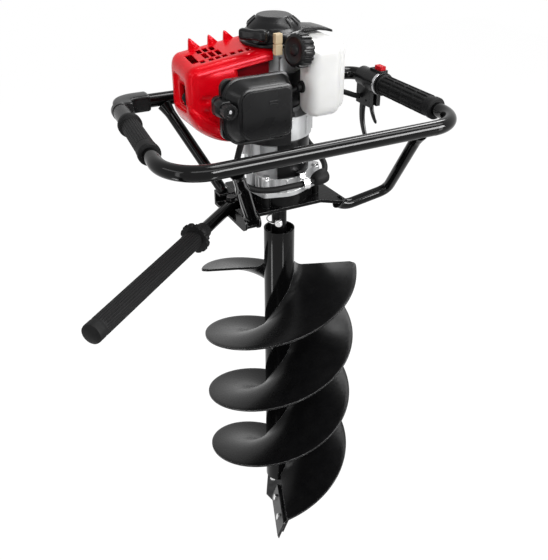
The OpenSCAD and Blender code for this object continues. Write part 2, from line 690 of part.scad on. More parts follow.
// Carburettor: throttle barrel, float bowl and cable tower
module carburettor() {
    color("#b0b2b4") {
        translate([-86, crank_y - 52 - seat, cyl_z]) rotate([90, 0, 0]) difference() {
            union() {
                cylinder(d = 30, h = 30 - seat);
                linear_extrude(5) round_rect(34, 30, 4);
                translate([0, 0, 25 - seat]) linear_extrude(5) round_rect(38, 32, 4);
            }
            translate([0, 0, -1]) cylinder(d = 18, h = 40);
        }
        translate([-86, crank_y - 67, cyl_z - 34]) cylinder(d = 26, h = 21);
        translate([-86, crank_y - 67, cyl_z + 12]) cylinder(d = 18, h = 18);
    }
}

// Back plate of the air filter, with the ear that takes the knob's screw
module filter_base() {
    color("#1a1a1a") difference() {
        union() {
            translate([(filter_x[0] + filter_x[1]) / 2, cover_back + 8.7, (filter_z[0] + filter_z[1]) / 2])
                rotate([90, 0, 0]) linear_extrude(8.4)
                    round_rect(filter_x[1] - filter_x[0], filter_z[1] - filter_z[0], 14);
            translate([knob_x + 6, cover_back + 8.7, knob_z]) rotate([90, 0, 0]) linear_extrude(8.4)
                round_rect(40, 32, 9);
        }
        translate([-86, 0, cyl_z]) rotate([90, 0, 0]) cylinder(d = 18, h = 100);
        translate([knob_x, 0, knob_z]) rotate([90, 0, 0]) cylinder(d = 5 + 2 * run, h = 120);
    }
}

module filter_element() {
    color("#3b3a33") translate([(filter_x[0] + filter_x[1]) / 2, cover_back, (filter_z[0] + filter_z[1]) / 2])
        rotate([90, 0, 0]) linear_extrude(16) round_rect(filter_x[1] - filter_x[0] - 46, filter_z[1] - filter_z[0] - 30, 8);
}

// Filter cover: sides that lean in towards a raised front panel
module cover_form(grow) {
    x0 = filter_x[0] - grow;
    x1 = filter_x[1] + grow;
    z0 = filter_z[0] - grow;
    z1 = filter_z[1] + grow;
    r = 12 + grow;
    hull() {
        for (c = [[x0 + r, z1 - r], [x1 - r, z1 - r], [x1 - r, z0 + r], [x0 + r + 14, z0 + r], [x0 + r, z0 + r + 24]])
            translate([c[0], cover_back, c[1]]) rotate([90, 0, 0]) cylinder(r = r, h = 10, $fn = round_fn);
        for (c = [[x0 + r + 30, z1 - r - 18], [x1 - r - 5, z1 - r - 18], [x1 - r - 5, z0 + r + 4],
            [x0 + r + 38, z0 + r + 4], [x0 + r + 30, z0 + r + 22]])
            translate([c[0], cover_front + 10, c[1]]) sphere(r = 10 + grow, $fn = round_fn);
    }
}
module filter_cover() {
    color("#1d1d1e") difference() {
        union() {
            cover_form(0);
            translate([filter_x[1] - 42, cover_front + 6, (filter_z[0] + filter_z[1]) / 2 - 7])
                rotate([90, 0, 0]) linear_extrude(9) round_rect(64, 64, 10);
            translate([knob_x + 6, cover_back - seat, knob_z]) rotate([90, 0, 0]) linear_extrude(knob_front)
                round_rect(38, 28, 8);
        }
        cover_form(-cover_wall);
        translate([-200, cover_back - seat, 0]) cube([400, 40, 2000]);
        translate([knob_x, 0, knob_z]) rotate([90, 0, 0]) cylinder(d = 5 + 2 * seat, h = 120);
    }
}

// Thumb knob with a fluted rim and its screw
module filter_knob() {
    color("#141414") translate([knob_x, cover_back - knob_front - 2 * seat, knob_z]) rotate([90, 0, 0]) {
        difference() {
            cylinder(d = 24, h = 14);
            for (k = [0 : 11]) rotate([0, 0, 30 * k]) translate([12.6, 0, -1]) cylinder(d = 3, h = 20);
            translate([0, 0, 11]) cylinder(d = 15, h = 5);
        }
        translate([0, 0, -knob_front - 6]) cylinder(d = 5, h = knob_front + 7);
    }
}

// Starter housing: flange, sloping dome with a flat crown, rope eye and an arm over the tank
module starter_housing() {
    color("#161617") difference() {
        union() {
            translate([crank[0], crank[1], case_top]) rotate_extrude() polygon([[0, 0], [starter_r, 0],
                [starter_r, 20], [starter_r - 4, 23], [48, 24.6], [33, starter_h - 3], [27.5, starter_h], [0, starter_h]]);
            translate([crank[0], crank[1], case_top]) rotate([0, 0, pull_a]) translate([44, -12, 5]) cube([18, 24, 17]);
            translate([48, crank_y - 16, case_top + 6]) rotate([90, 0, 0]) mirror([0, 0, 1])
                linear_extrude(32) polygon([[0, 0], [0, 12], [30, 9], [58, 1], [60, -4], [57, -4], [28, 3]]);
        }
        translate([crank[0], crank[1], case_top - 1]) cylinder(r = 44, h = 21);
        translate([crank[0], crank[1], case_top]) cylinder(d = 12 + 2 * run, h = 26);
        translate([crank[0], crank[1], pull_z]) rotate([0, 90, pull_a]) cylinder(d = 5, h = 90);
        // Air slots round the dome
        for (k = [0 : 11]) if (k != 4 && k != 3) translate([crank[0], crank[1], case_top + 4]) rotate([0, 0, 30 * k + 111])
            translate([starter_r - 8, -5, 0]) cube([20, 10, 9]);
    }
}

// Rope pulley on its own post, with the rope wound in its groove
module starter_pulley() {
    color("#e4e2da") translate([crank[0], crank[1], case_top]) {
        rotate_extrude() polygon([[6, 2], [40, 2], [40, 4], [33, 7], [33, 8], [40, 11], [40, 13], [6, 13]]);
        translate([0, 0, -10]) cylinder(d = 12, h = 30);
    }
}

// Flat recoil spring, wound as one spiral strip
module recoil_spring() {
    turns = 5;
    steps = 18;
    spiral = [for (i = [0 : turns * steps]) let (a = 360 * i / steps, r = 12 + 4.6 * i / steps)
        [a, r]];
    color("#8f9194") translate([crank[0], crank[1], case_top + 13.4]) linear_extrude(5.6) polygon(concat(
        [for (p = spiral) (p[1] + 0.5) * [cos(p[0]), sin(p[0])]],
        [for (i = [turns * steps : -1 : 0]) (spiral[i][1] - 0.5) * [cos(spiral[i][0]), sin(spiral[i][0])]]));
}

// Pull handle: a waisted bar across the rope
module starter_handle() {
    color("#131313") translate([crank[0], crank[1], pull_z]) rotate([0, 0, pull_a]) {
        translate([62.4, 0, 0]) rotate([90, 0, 90]) linear_extrude(13) round_rect(34, 17, 7);
        translate([75, 0, 0]) rotate([90, 0, 90]) linear_extrude(4) round_rect(24, 11, 5);
        translate([50, 0, 0]) rotate([0, 90, 0]) cylinder(d = 4, h = 13);
    }
}

// Fuel tank: a front lobe with the filler neck and a rear lobe beside the crankcase
module fuel_tank() {
    color("#f2f2ee") {
        soft_box([tank_x[0], tank_y[0], tank_z[0] + 6], [tank_x[1] - 26, tank_y[0] + 48, tank_z[1] + 6], 16);
        soft_box([tank_x[0] + 30, tank_y[0] + 30, tank_z[0]], [tank_x[1], tank_y[1], tank_z[1]], 18);
        at_cap() translate([0, 0, -22]) cylinder(d = cap_d - 15, h = 34);
    }
}
module at_cap() {
    translate(cap_pos) rotate([0, 90 - cap_tilt, cap_a]) children();
}

// Fuel cap: deep cup with ribs round its rim
module fuel_cap() {
    color("#121212") at_cap() difference() {
        union() {
            cylinder(d = cap_d - 4, h = 22);
            for (k = [0 : 17]) rotate([0, 0, 20 * k]) translate([cap_d / 2 - 5, -2, 0]) cube([5, 4, 20]);
            translate([0, 0, 22]) cylinder(d1 = cap_d - 4, d2 = cap_d - 16, h = 2);
        }
        translate([0, 0, -1]) cylinder(d = cap_d - 15 + 2 * run, h = 15);
        translate([0, 0, 21]) cylinder(d = 18, h = 5);
    }
}

// Rubber grommet in the tank's side
module fuel_grommet() {
    color("#161616") translate(grommet) rotate([0, -90, 0]) translate([0, 0, seat]) cylinder(d1 = 17, d2 = 14, h = 8);
}

// Fuel line from the grommet to the carburettor
module fuel_hose() {
    color("#161616") sweep(curve(hose_path, 3), 6, 10);
}

// Bracket under the tank, on the fan housing
module tank_bracket() {
    color("#232324") {
        translate([48, crank_y - 26, tank_z[0] - 4]) cube([46, 52, 4 - seat]);
        translate([48, crank_y - 14, fan_top + seat]) cube([14, 28, tank_z[0] - fan_top - seat]);
    }
}

// Two-pole plug and socket of the stop switch's lead
module wire_connector() {
    color("#dcc9a0") translate([-29, crank_y - starter_r - 8.2, case_top - 10]) {
        cube([12, 10, 16]);
        translate([1, 1, 15]) cube([10, 8, 4]);
        translate([0, 0, 18]) cube([12, 10, 15]);
    }
}

// Left-hand bend at a corner, between two straight tubes
function unit(v) = v / norm(v);
function bend_len(p, c, n, r = loop_r) = r * tan(acos(unit(c - p) * unit(n - c)) / 2);
module bend(p, c, n, r, d) {
    from = unit(c - p);
    start = c - bend_len(p, c, n, r) * from;
    centre = start + r * [-from[1], from[0]];
    translate(centre) rotate([0, 0, atan2(start[1] - centre[1], start[0] - centre[0])])
        rotate_extrude(angle = acos(from * unit(n - c))) translate([r, 0]) circle(d = d);
}
module level_rod(a, b, d) {
    rod([a[0], a[1], 0], [b[0], b[1], 0], d);
}

// Handle loop: four straight tubes and three bends, open where the elbow joins its ends
module handle_loop() {
    l_front = bend_len(left_rear, left_front, right_front) - bend_lap;
    r_front = bend_len(left_front, right_front, right_rear) - bend_lap;
    r_rear = bend_len(right_front, right_rear, left_rear, loop_rear_r) - bend_lap;
    bent_d = loop_tube + bend_swell;
    color("#111111") translate([0, 0, loop_z]) {
        bend(left_rear, left_front, right_front, loop_r, bent_d);
        bend(left_front, right_front, right_rear, loop_r, bent_d);
        bend(right_front, right_rear, left_rear, loop_rear_r, bent_d);
        level_rod(left_front + [l_front, 0], right_front - [r_front, 0], loop_tube);
        level_rod(right_front + [0, r_front], right_rear - [0, r_rear], loop_tube);
        level_rod(right_rear - r_rear * rear_dir, left_rear + (elbow_arm - plug_in) * rear_dir, loop_tube);
        level_rod(left_rear - (elbow_arm - plug_in) * left_dir, left_front + l_front * left_dir, loop_tube);
    }
}

// Cast elbow at the rear left: two flattened arms with sockets for the tube ends
module corner_elbow() {
    d = loop_tube + 13;
    turn = bend_len(right_rear, left_rear, left_front, elbow_r) - bend_lap;
    color("#1c1c1d") translate([0, 0, loop_z]) difference() {
        intersection() {
            union() {
                bend(right_rear, left_rear, left_front, elbow_r, d + bend_swell);
                level_rod(left_rear + turn * rear_dir, left_rear + elbow_arm * rear_dir, d);
                level_rod(left_rear - turn * left_dir, left_rear - elbow_arm * left_dir, d);
            }
            translate([-400, 0, -16]) cube([400, 400, 33]);
        }
        level_rod(left_rear + (elbow_arm - plug_in - seat) * rear_dir, left_rear + 2 * elbow_arm * rear_dir,
            loop_tube + 2 * run);
        level_rod(left_rear - (elbow_arm - plug_in - seat) * left_dir, left_rear - 2 * elbow_arm * left_dir,
            loop_tube + 2 * run);
    }
}

// Saddle cut that fits a strut's end round the loop's front or rear tube
module bar_cut(s) {
    translate([0, 0, loop_z]) if (s < 0) level_rod(left_front, right_front, loop_tube + 2 * seat);
    else level_rod(left_rear, right_rear, loop_tube + 2 * seat);
}
// Point on the rear bar's centre line
function rear_at(x) = [x, left_rear[1] + (x - left_rear[0]) * rear_dir[1] / rear_dir[0], loop_z];
function strut_y(z) = strut_foot[1] + (rear_at(strut_top)[1] - strut_foot[1]) * (z - plate_z + 12)
    / (loop_z - plate_z + 12);

// Struts: the front right one is bent along the plate, the other three are straight
module struts() {
    under = plate_z - plate_thick - strut_d / 2 - seat;
    foot = [172, -57, under];
    reach = [0, front_y - foot[1], loop_z - foot[2]];
    lean = atan2(-reach[2], -reach[1]);
    bend = 30;
    color("#111111") {
        difference() {
            translate(foot) rotate([lean, 0, 0]) {
                rod([0, -norm(reach), 0], [0, -bend, 0], strut_d);
                translate([-bend, -bend, 0]) rotate_extrude(angle = 90) translate([bend, 0]) circle(d = strut_d);
                rod([-bend, 0, 0], [-84, 0, 0], strut_d);
            }
            bar_cut(-1);
        }
        difference() {
            rod(rear_at(strut_top), [strut_foot[0], strut_foot[1], plate_z - 12], strut_d);
            bar_cut(1);
            translate([-200, -200, plate_z - 100 + seat]) cube([400, 400, 100]);
        }
        difference() {
            union() {
                rod(rear_at(-150), [-76, 56, plate_z - 12], strut_d);
                rod([-165, front_y, loop_z], [-76, -44, plate_z - 12], strut_d);
            }
            bar_cut(1);
            bar_cut(-1);
            translate([-200, -200, plate_z - 98 + seat]) cube([400, 400, 100]);
        }
    }
}

// Base plate with the gearbox's nose hole and bolt holes
module base_plate() {
    color("#151515") difference() {
        translate([0, 0, plate_z - plate_thick]) linear_extrude(plate_thick) polygon([[channel_x, -46], [62, -46],
            [96, -70], [104, -62], [100, 60], [92, 98], [60, 106], [-60, 106], [channel_x, 100]]);
        translate([0, 0, plate_z - 20]) cylinder(d = 34 + 2 * seat, h = 40);
        for (p = case_bolts) translate([p[0], p[1], plate_z - 20]) cylinder(d = 8 + 2 * seat, h = 40);
    }
}

// Channel on the plate's left edge: floor, two walls with round noses, two roofs for the struts, pivot post
module handle_channel() {
    floor_z = arm_z - arm_d / 2 - 5 - seat;
    wall_h = plate_z - 1 - floor_z;
    nose = -56;
    tail = 80;
    color("#131313") {
        translate([channel_x - channel_w, nose + 14, floor_z]) cube([channel_w, tail - nose - 14, 5]);
        for (w = [[channel_x - channel_wall, tail], [channel_x - channel_w, -16]])
            translate([w[0], 0, floor_z]) rotate([90, 0, 90]) linear_extrude(channel_wall) {
                translate([nose + wall_h / 2, 0]) square([w[1] - nose - wall_h / 2, wall_h]);
                translate([nose + wall_h / 2, wall_h / 2]) circle(d = wall_h);
            }
        translate([channel_x - channel_w, tail - channel_wall, floor_z]) cube([channel_w, channel_wall, wall_h]);
        for (y = [[nose + 15, -16], [54, tail]])
            translate([channel_x - channel_w, y[0], plate_z - 1.1]) cube([channel_w, y[1] - y[0], 3.1]);
        translate([arm_pivot[0], arm_pivot[1], floor_z + 4.9]) cylinder(d = 10, h = arm_d + 6);
        translate([arm_pivot[0], arm_pivot[1], arm_z + arm_d / 2 + 1]) cylinder(d = 18, h = 6, $fn = 6);
    }
}

// Support handle: tube with an eye on the post, collar, scalloped guard and ribbed grip
module support_handle() {
    start = arm_len - arm_grip_len;
    color("#151515") translate([arm_pivot[0], arm_pivot[1], arm_z]) rotate([0, 0, arm_a]) difference() {
        union() {
            cylinder(d = 24, h = arm_d, center = true);
            rod([0, 0, 0], [arm_len - 4, 0, 0], arm_d);
            translate([start - 34, 0, 0]) rotate([0, 90, 0]) cylinder(d1 = arm_d + 6, d2 = arm_grip_d, h = 20);
            translate([start - 14, 0, 0]) rotate([0, 90, 0]) linear_extrude(9) difference() {
                circle(d = arm_grip_d + 22);
                for (k = [0 : 7]) rotate([0, 0, 45 * k]) translate([arm_grip_d / 2 + 12.5, 0]) circle(d = 6);
            }
            translate([start - 6, 0, 0]) rotate([0, 90, 0]) cylinder(d = arm_grip_d - 2, h = arm_grip_len + 4);
            for (k = [0 : 15]) rotate([22.5 * k, 0, 0]) translate([start - 5, -1.5, arm_grip_d / 2 - 3])
                cube([arm_grip_len - 4, 3, 3]);
            translate([arm_len - 10, 0, 0]) rotate([0, 90, 0]) cylinder(d = arm_grip_d, h = 10);
        }
        cylinder(d = 10 + 2 * run, h = 60, center = true);
    }
}

// Ribbed rubber grip along +Y with a flange at its far end
module hand_grip(len, flange) {
    rotate([-90, 0, 0]) difference() {
        union() {
            cylinder(d = grip_d - 3, h = len);
            for (k = [0 : 11]) rotate([0, 0, 30 * k]) for (j = [0 : 5]) translate([grip_d / 2 - 3, -3, 8 + j * (len - 22) / 6])
                cube([3, 6, (len - 22) / 6 - 2]);
            cylinder(d = grip_d + 2, h = 6);
            translate([0, 0, len - 8]) cylinder(d = grip_d + flange, h = 8);
        }
        translate([0, 0, -1]) cylinder(d = loop_tube + 2 * run, h = len + 2);
    }
}

module left_grip() {
    start = left_rear - (elbow_arm + 8 + grip_left_len) * left_dir;
    color("#191919") translate([start[0], start[1], loop_z]) rotate([0, 0, -loop_lean]) hand_grip(grip_left_len, 9);
}

module right_grip() {
    color("#191919") translate([loop_x, control_y - seat - grip_right_len, loop_z]) hand_grip(grip_right_len, 2);
}

// Clamp of the controls: collar round the tube, with a forked arm for the two levers
module control_housing() {
    color("#151515") translate([loop_x, 0, loop_z]) difference() {
        union() {
            translate([0, control_y, 0]) rotate([-90, 0, 0]) cylinder(d = loop_tube + 19, h = control_len - 30);
            translate([0, control_y + control_len - 30, 0]) rotate([-90, 0, 0]) cylinder(d = loop_tube + 13, h = 30);
            translate([-13, lock_y - 12, lever_z - loop_z - 11]) cube([26, lever_y - lock_y + 24, 40]);
            translate([-9, control_y + 2, 14]) cube([18, 34, 12]);
        }
        translate([0, control_y - 1, 0]) rotate([-90, 0, 0]) cylinder(d = loop_tube + 2 * run, h = control_len + 2);
        translate([-4, lock_y - 20, lever_z - loop_z - 20]) cube([8, lever_y - lock_y + 50, 36]);
        translate([-6.3, control_y + 4, 22]) cube([12.6, 28.6, 10]);
        for (y = [lock_y, lever_y]) translate([0, y, lever_z - loop_z]) rotate([0, 90, 0])
            cylinder(d = lever_pin_d + 2 * run, h = 60, center = true);
    }
}

// Lever outline hanging from its pin, bowed towards the grip, with a round end
function lever_mid(reach, bow, t) = [-bow * sin(180 * t) - t * bow, -reach * t];
module lever_outline(reach, bow, wide, tip) {
    n = 12;
    mid = [for (k = [0 : n]) lever_mid(reach, bow, k / n)];
    along = [for (k = [0 : n]) unit(mid[min(k + 1, n)] - mid[max(k - 1, 0)])];
    half = [for (k = [0 : n]) wide / 2 + (tip - wide / 2) * k / n];
    side = [for (k = [0 : n]) half[k] * [-along[k][1], along[k][0]]];
    heel = atan2(side[0][1], side[0][0]);
    toe = atan2(side[n][1], side[n][0]);
    polygon(concat(
        [for (k = [0 : n]) mid[k] - side[k]],
        [for (k = [1 : 7]) mid[n] + tip * [cos(toe - 180 + 22.5 * k), sin(toe - 180 + 22.5 * k)]],
        [for (k = [n : -1 : 0]) mid[k] + side[k]],
        [for (k = [1 : 11]) mid[0] + wide / 2 * [cos(heel + 15 * k), sin(heel + 15 * k)]]));
}

module throttle_lever() {
    color("#121212") translate([loop_x, lever_y, lever_z]) {
        rotate([90, 0, 90]) linear_extrude(7, center = true) lever_outline(lever_len, -6, 17, 5);
        rotate([0, 90, 0]) cylinder(d = lever_pin_d, h = 26, center = true);
    }
}

module lock_lever() {
    color("#121212") translate([loop_x, lock_y, lever_z]) {
        rotate([90, 0, 90]) linear_extrude(6, center = true) lever_outline(42, 10, 12, 3);
        rotate([0, 90, 0]) cylinder(d = lever_pin_d, h = 26, center = true);
    }
}

// Red slide of the stop switch, on its track above the clamp
module stop_switch() {
    color("#d5101c") translate([loop_x, control_y + 5, loop_z + 22 + seat]) {
        translate([-6, 0, 0]) cube([12, 20, 5]);
        difference() {
            translate([-6, 0, 4.9]) cube([12, 20, 6]);
            for (k = [0 : 3]) translate([-7, 3 + 4 * k, 9.6]) cube([14, 1.6, 3]);
        }
    }
}

// Throttle cable: from the clamp along the rear tube, round the gear case and up to the carburettor
module throttle_cable() {
    color("#101010") sweep(curve(cable_path, 3), cable_d, 10);
}

// Clip that holds the cable on the front of the gear case
module cable_clip() {
    color("#c6c8ca") difference() {
        union() {
            translate([12, -63.4, 860]) rotate([0, 90, 0]) cylinder(d = cable_d + 10, h = 12);
            translate([12, -56, 850]) cube([12, 14.5, 26]);
        }
        translate([0, -63.4, 860]) rotate([0, 90, 0]) cylinder(d = cable_d + 3, h = 60);
        cylinder(r = 46 + seat, h = 2000);
    }
}

bit_tube();
bit_socket();
flight_a();
flight_b();
blade_holders();
cutting_blades();
blade_bolts();
pilot_point();
pilot_bolts();
cross_pin();
pin_wire();
output_shaft();
output_gear();
output_bearing();
countershaft();
clutch_drum();
clutch_shoes();
flywheel_fan();
gearbox_lower();
gearbox_upper();
gearbox_bolts();
clutch_housing();
fan_housing();
crankcase();
cylinder_body();  // cylinder
spark_plug();
plug_cap();
muffler();
ignition_coil();
engine_shroud();
intake_block();
carburettor();
filter_base();
filter_element();
filter_cover();
filter_knob();
starter_housing();
starter_pulley();
recoil_spring();
starter_handle();
fuel_tank();
fuel_cap();
fuel_grommet();
fuel_hose();
tank_bracket();
wire_connector();
handle_loop();
struts();
base_plate();
corner_elbow();
left_grip();
right_grip();
control_housing();
throttle_lever();
lock_lever();
stop_switch();
throttle_cable();
cable_clip();
handle_channel();
support_handle();
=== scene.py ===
import json
import math

import bmesh
import bpy
import numpy as np
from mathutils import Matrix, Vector


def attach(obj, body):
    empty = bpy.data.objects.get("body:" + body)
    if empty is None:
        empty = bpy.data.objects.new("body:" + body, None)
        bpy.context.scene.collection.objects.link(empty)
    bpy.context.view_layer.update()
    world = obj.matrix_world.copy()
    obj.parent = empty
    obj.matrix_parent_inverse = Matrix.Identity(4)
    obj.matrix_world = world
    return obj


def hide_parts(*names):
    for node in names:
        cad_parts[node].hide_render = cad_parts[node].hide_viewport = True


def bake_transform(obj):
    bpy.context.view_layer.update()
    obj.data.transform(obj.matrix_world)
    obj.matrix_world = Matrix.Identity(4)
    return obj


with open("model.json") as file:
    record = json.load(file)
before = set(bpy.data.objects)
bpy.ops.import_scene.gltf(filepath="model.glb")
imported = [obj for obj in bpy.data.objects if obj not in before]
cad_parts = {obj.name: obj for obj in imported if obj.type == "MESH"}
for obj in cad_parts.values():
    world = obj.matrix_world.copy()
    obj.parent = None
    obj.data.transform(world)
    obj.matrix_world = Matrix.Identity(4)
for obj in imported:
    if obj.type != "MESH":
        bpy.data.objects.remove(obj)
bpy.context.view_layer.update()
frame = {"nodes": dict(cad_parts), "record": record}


# Camera
# The machine is seen from the front left and from above, upright, through a normal lens.
# The viewpoint follows from the fitted edges of the flights and of the handle loop.
IMAGE_H = 560
FOCAL_PX = 752.8
SHIFT_PX = 5.154
SENSOR_MM = 36
EYE = Vector((-0.5857, -1.1177, 1.396))
GAZE = Vector((0.3973, 0.7581, -0.5172))

camera_data = bpy.data.cameras.new("camera")
camera_data.sensor_width = SENSOR_MM
camera_data.lens = FOCAL_PX * SENSOR_MM / IMAGE_H
camera_data.shift_x = -SHIFT_PX / IMAGE_H
camera = bpy.data.objects.new("camera", camera_data)
camera.location = EYE
camera.rotation_euler = GAZE.to_track_quat("-Z", "Y").to_euler()
bpy.context.scene.collection.objects.link(camera)
bpy.context.scene.camera = camera
bpy.context.scene.view_settings.view_transform = "Standard"


# Studio
# A white cove lit by narrow soft boxes. What the lens or a polished face sees of the cove is plain
# white, while the light that reaches the machine stays at a level where colours look as written.
COVE_LIGHT = 0.32
FLOOR_HALF = 4.0
FLOOR_GREY = (0.6, 0.6, 0.6, 1)
FLOOR_SHADE = (0.1, 0.1, 0.1, 1)
FLOOR_GLOW = 0.96
WHITE = (1, 1, 1, 1)


class Wire:
    """A shader socket. Arithmetic on it adds Math nodes, and add() puts in any other node."""

    def __init__(self, tree, socket=None):
        self.tree = tree
        self.socket = socket

    def add(self, kind, settings=None, sockets=None, out=0):
        """New node of that kind: its settings first, then values or links by socket name or number."""
        node = self.tree.nodes.new("ShaderNode" + kind)
        for key, value in (settings or {}).items():
            if key == "stops":
                for stop, (place, grey) in zip(node.color_ramp.elements, value):
                    stop.position = place
                    stop.color = (grey, grey, grey, 1)
            else:
                setattr(node, key, value)
        for key, value in (sockets or {}).items():
            if isinstance(value, Wire):
                self.tree.links.new(value.socket, node.inputs[key])
            else:
                node.inputs[key].default_value = value
        return Wire(self.tree, node.outputs[out] if node.outputs else None)

    def math(self, operation, *others):
        """Math node on this value and others."""
        return self.add("Math", {"operation": operation}, dict(enumerate((self,) + others)))

    def __add__(self, other):
        return self.math("ADD", other)

    def __mul__(self, other):
        return self.math("MULTIPLY", other)

    def __rsub__(self, other):
        return self.add("Math", {"operation": "SUBTRACT"}, {0: other, 1: self})

    __radd__ = __add__
    __rmul__ = __mul__

    def blend(self, first, second):
        """Colour between two colours, by this value."""
        return self.add("Mix", {"data_type": "RGBA"}, {0: self, 6: rgba(first), 7: rgba(second)}, out=2)


def rgba(colour):
    """A colour with its alpha, or the wire that carries one."""
    return colour if isinstance(colour, Wire) else (*colour, 1)


def seen_directly(wire):
    """1 for rays from the lens and for mirrored or transmitted ones, 0 for the rest."""
    path = wire.add("LightPath").socket.node.outputs
    lens, mirror, glass = (Wire(wire.tree, path[name])
                           for name in ("Is Camera Ray", "Is Glossy Ray", "Is Transmission Ray"))
    return lens.math("MAXIMUM", mirror).math("MAXIMUM", glass)


cove = bpy.data.worlds.new("cove")
bpy.context.scene.world = cove
cove.use_nodes = True
cove.node_tree.nodes.clear()
sky = Wire(cove.node_tree)
sky_strength = seen_directly(sky) * (1 - COVE_LIGHT) + COVE_LIGHT
sky_light = sky.add("Background", sockets={"Color": WHITE, "Strength": sky_strength})
sky.add("OutputWorld", sockets={"Surface": sky_light})

floor_mesh = bpy.data.meshes.new("floor")
floor_corners = [(x * FLOOR_HALF, y * FLOOR_HALF, 0) for x, y in ((-1, -1), (1, -1), (1, 1), (-1, 1))]
floor_mesh.from_pydata(floor_corners, [], [(0, 1, 2, 3)])
floor = bpy.data.objects.new("floor", floor_mesh)
bpy.context.scene.collection.objects.link(floor)
floor_paint = bpy.data.materials.new("floor")
floor_paint.use_nodes = True
floor_paint.node_tree.nodes.clear()
ground = Wire(floor_paint.node_tree)
floor_matt = ground.add("BsdfDiffuse", sockets={"Color": FLOOR_GREY})
floor_pale = ground.add("BsdfDiffuse", sockets={"Color": FLOOR_SHADE})
floor_glow = ground.add("Emission", sockets={"Color": WHITE, "Strength": FLOOR_GLOW})
floor_seen = ground.add("AddShader", sockets={0: floor_pale, 1: floor_glow})
floor_mix = ground.add("MixShader", sockets={0: seen_directly(ground), 1: floor_matt, 2: floor_seen})
ground.add("OutputMaterial", sockets={"Surface": floor_mix})
floor_mesh.materials.append(floor_paint)


def soft_box(name, place, aim, width, height, watts, gleam=True, fill=True):
    """A rectangular area lamp at a place, turned to face a point. One without fill only shows in gloss, and
    one without gleam only lights matt colour."""
    lamp = bpy.data.lights.new(name, "AREA")
    lamp.shape = "RECTANGLE"
    lamp.size = width
    lamp.size_y = height
    lamp.energy = watts
    holder = bpy.data.objects.new(name, lamp)
    holder.location = place
    holder.rotation_euler = (Vector(aim) - Vector(place)).to_track_quat("-Z", "Y").to_euler()
    holder.visible_diffuse = fill
    holder.visible_glossy = gleam
    holder.visible_camera = fill and gleam
    bpy.context.scene.collection.objects.link(holder)


# The line and stripe lamps only draw highlights on glossy faces. The back lamp only lifts the shade behind.
soft_box("lamp_key", (1.15, -0.55, 2.9), (0, -0.1, 0.95), 0.6, 1.7, 30)
soft_box("lamp_line", (1.0, -1.75, 1.58), (0, -0.17, 0.95), 2.0, 0.65, 140, fill=False)
soft_box("lamp_line_top", (1.0, 0.45, 2.7), (0, -0.17, 0.95), 0.4, 1.8, 52, fill=False)
soft_box("lamp_stripe_right", (0.014, -0.62, 0.18), (0, 0, 0.45), 0.06, 0.40, 1.0, fill=False)
soft_box("lamp_stripe_left", (-0.616, -0.068, 0.18), (0, 0, 0.45), 0.12, 0.40, 1.6, fill=False)
soft_box("lamp_back", (0.6, 2.3, 1.9), (0, 0, 0.9), 1.8, 1.2, 24, gleam=False)
soft_box("lamp_front", (-0.3, -1.8, 2.7), (0, 0, 0.9), 2.2, 0.6, 26)
soft_box("lamp_left", (-2.1, -0.3, 2.2), (0, 0, 0.9), 2.0, 0.4, 11)
soft_box("lamp_left_edge", (-2.2, -1.0, 0.9), (0, 0, 0.6), 0.35, 2.0, 11)
soft_box("lamp_right_edge", (1.7, -1.7, 0.9), (0, 0, 0.6), 0.35, 2.0, 12)


# Core tube and socket
# A steel tube with a plain rim, and the short socket welded inside it that takes the drive shaft.
# Both are sprayed with the gloss black paint that most of the steel carries.
EDGE_ROUND = 0.0008
CLOUDS_PER_M = 30.0
PATCHES_PER_M = 50.0
PATCH_RAMP = ((0.35, 0), (0.7, 1))
EDGE_WEAR_SHEEN_GAIN = 9.0
EDGE_WEAR_SHEEN_SPREAD = 1.6
BUMP_HEIGHT = 0.001
FINISHES = {}
SLOT_OF = {part["node"]: part["material_slot"] for part in frame["record"]["subparts"]}


def finish(name, colour, rough, drift=0.05, grain=0.0, grain_size=0.001, tint=None, edge_wear_and_sheen=None, wave=0.0,
           shine=None, **constants):
    """Material of one slot. Noise on Object coordinates lets its gloss drift and gives it a fine grain and a
    slow wave, a second tint lies in patches, edges are softened, and an edge colour, where given, lies along
    edges in patches; on the satin black it is a painted highlight. Shine is the strength of its mirrored
    light, and constants are other sockets of the shader."""
    material = bpy.data.materials.new(name)
    material.use_nodes = True
    material.node_tree.nodes.clear()
    start = Wire(material.node_tree)
    place = start.add("TexCoord", out="Object")
    cloud = start.add("TexNoise", sockets={"Vector": place, "Scale": CLOUDS_PER_M, "Detail": 4.0})
    fine = start.add("TexNoise", sockets={"Vector": place, "Scale": 1 / grain_size, "Detail": 3.0})
    soft = start.add("Bevel", {"samples": 4}, {"Radius": EDGE_ROUND})
    base = colour
    gloss = cloud * (2 * drift) + (rough - drift)
    if tint is not None:
        patch = start.add("TexNoise", sockets={"Vector": place, "Scale": PATCHES_PER_M, "Detail": 6.0})
        base = patch.add("ValToRGB", {"stops": PATCH_RAMP}, {"Fac": patch}).blend(colour, tint)
    # An edge colour, where given, is laid along edges in patches; on the satin black it is a painted
    # highlight.
    if edge_wear_and_sheen is not None:
        flat = start.add("NewGeometry", out="Normal")
        agree = start.add("VectorMath", {"operation": "DOT_PRODUCT"}, {0: soft, 1: flat}, out="Value")
        edge = ((1 - agree) * EDGE_WEAR_SHEEN_GAIN).math("MINIMUM", 1.0) * (cloud * EDGE_WEAR_SHEEN_SPREAD).math("MINIMUM", 1.0)
        base = edge.blend(base, edge_wear_and_sheen)
    if shine is not None:
        constants["Specular IOR Level"] = shine
    bump = {"Strength": 1.0, "Distance": BUMP_HEIGHT, "Height": fine * grain + cloud * wave, "Normal": soft}
    relief = start.add("Bump", sockets=bump)
    values = {"Base Color": rgba(base), "Roughness": gloss, "Normal": relief, **constants}
    shader = start.add("BsdfPrincipled", sockets=values)
    start.add("OutputMaterial", sockets={"Surface": shader})
    FINISHES[name] = material


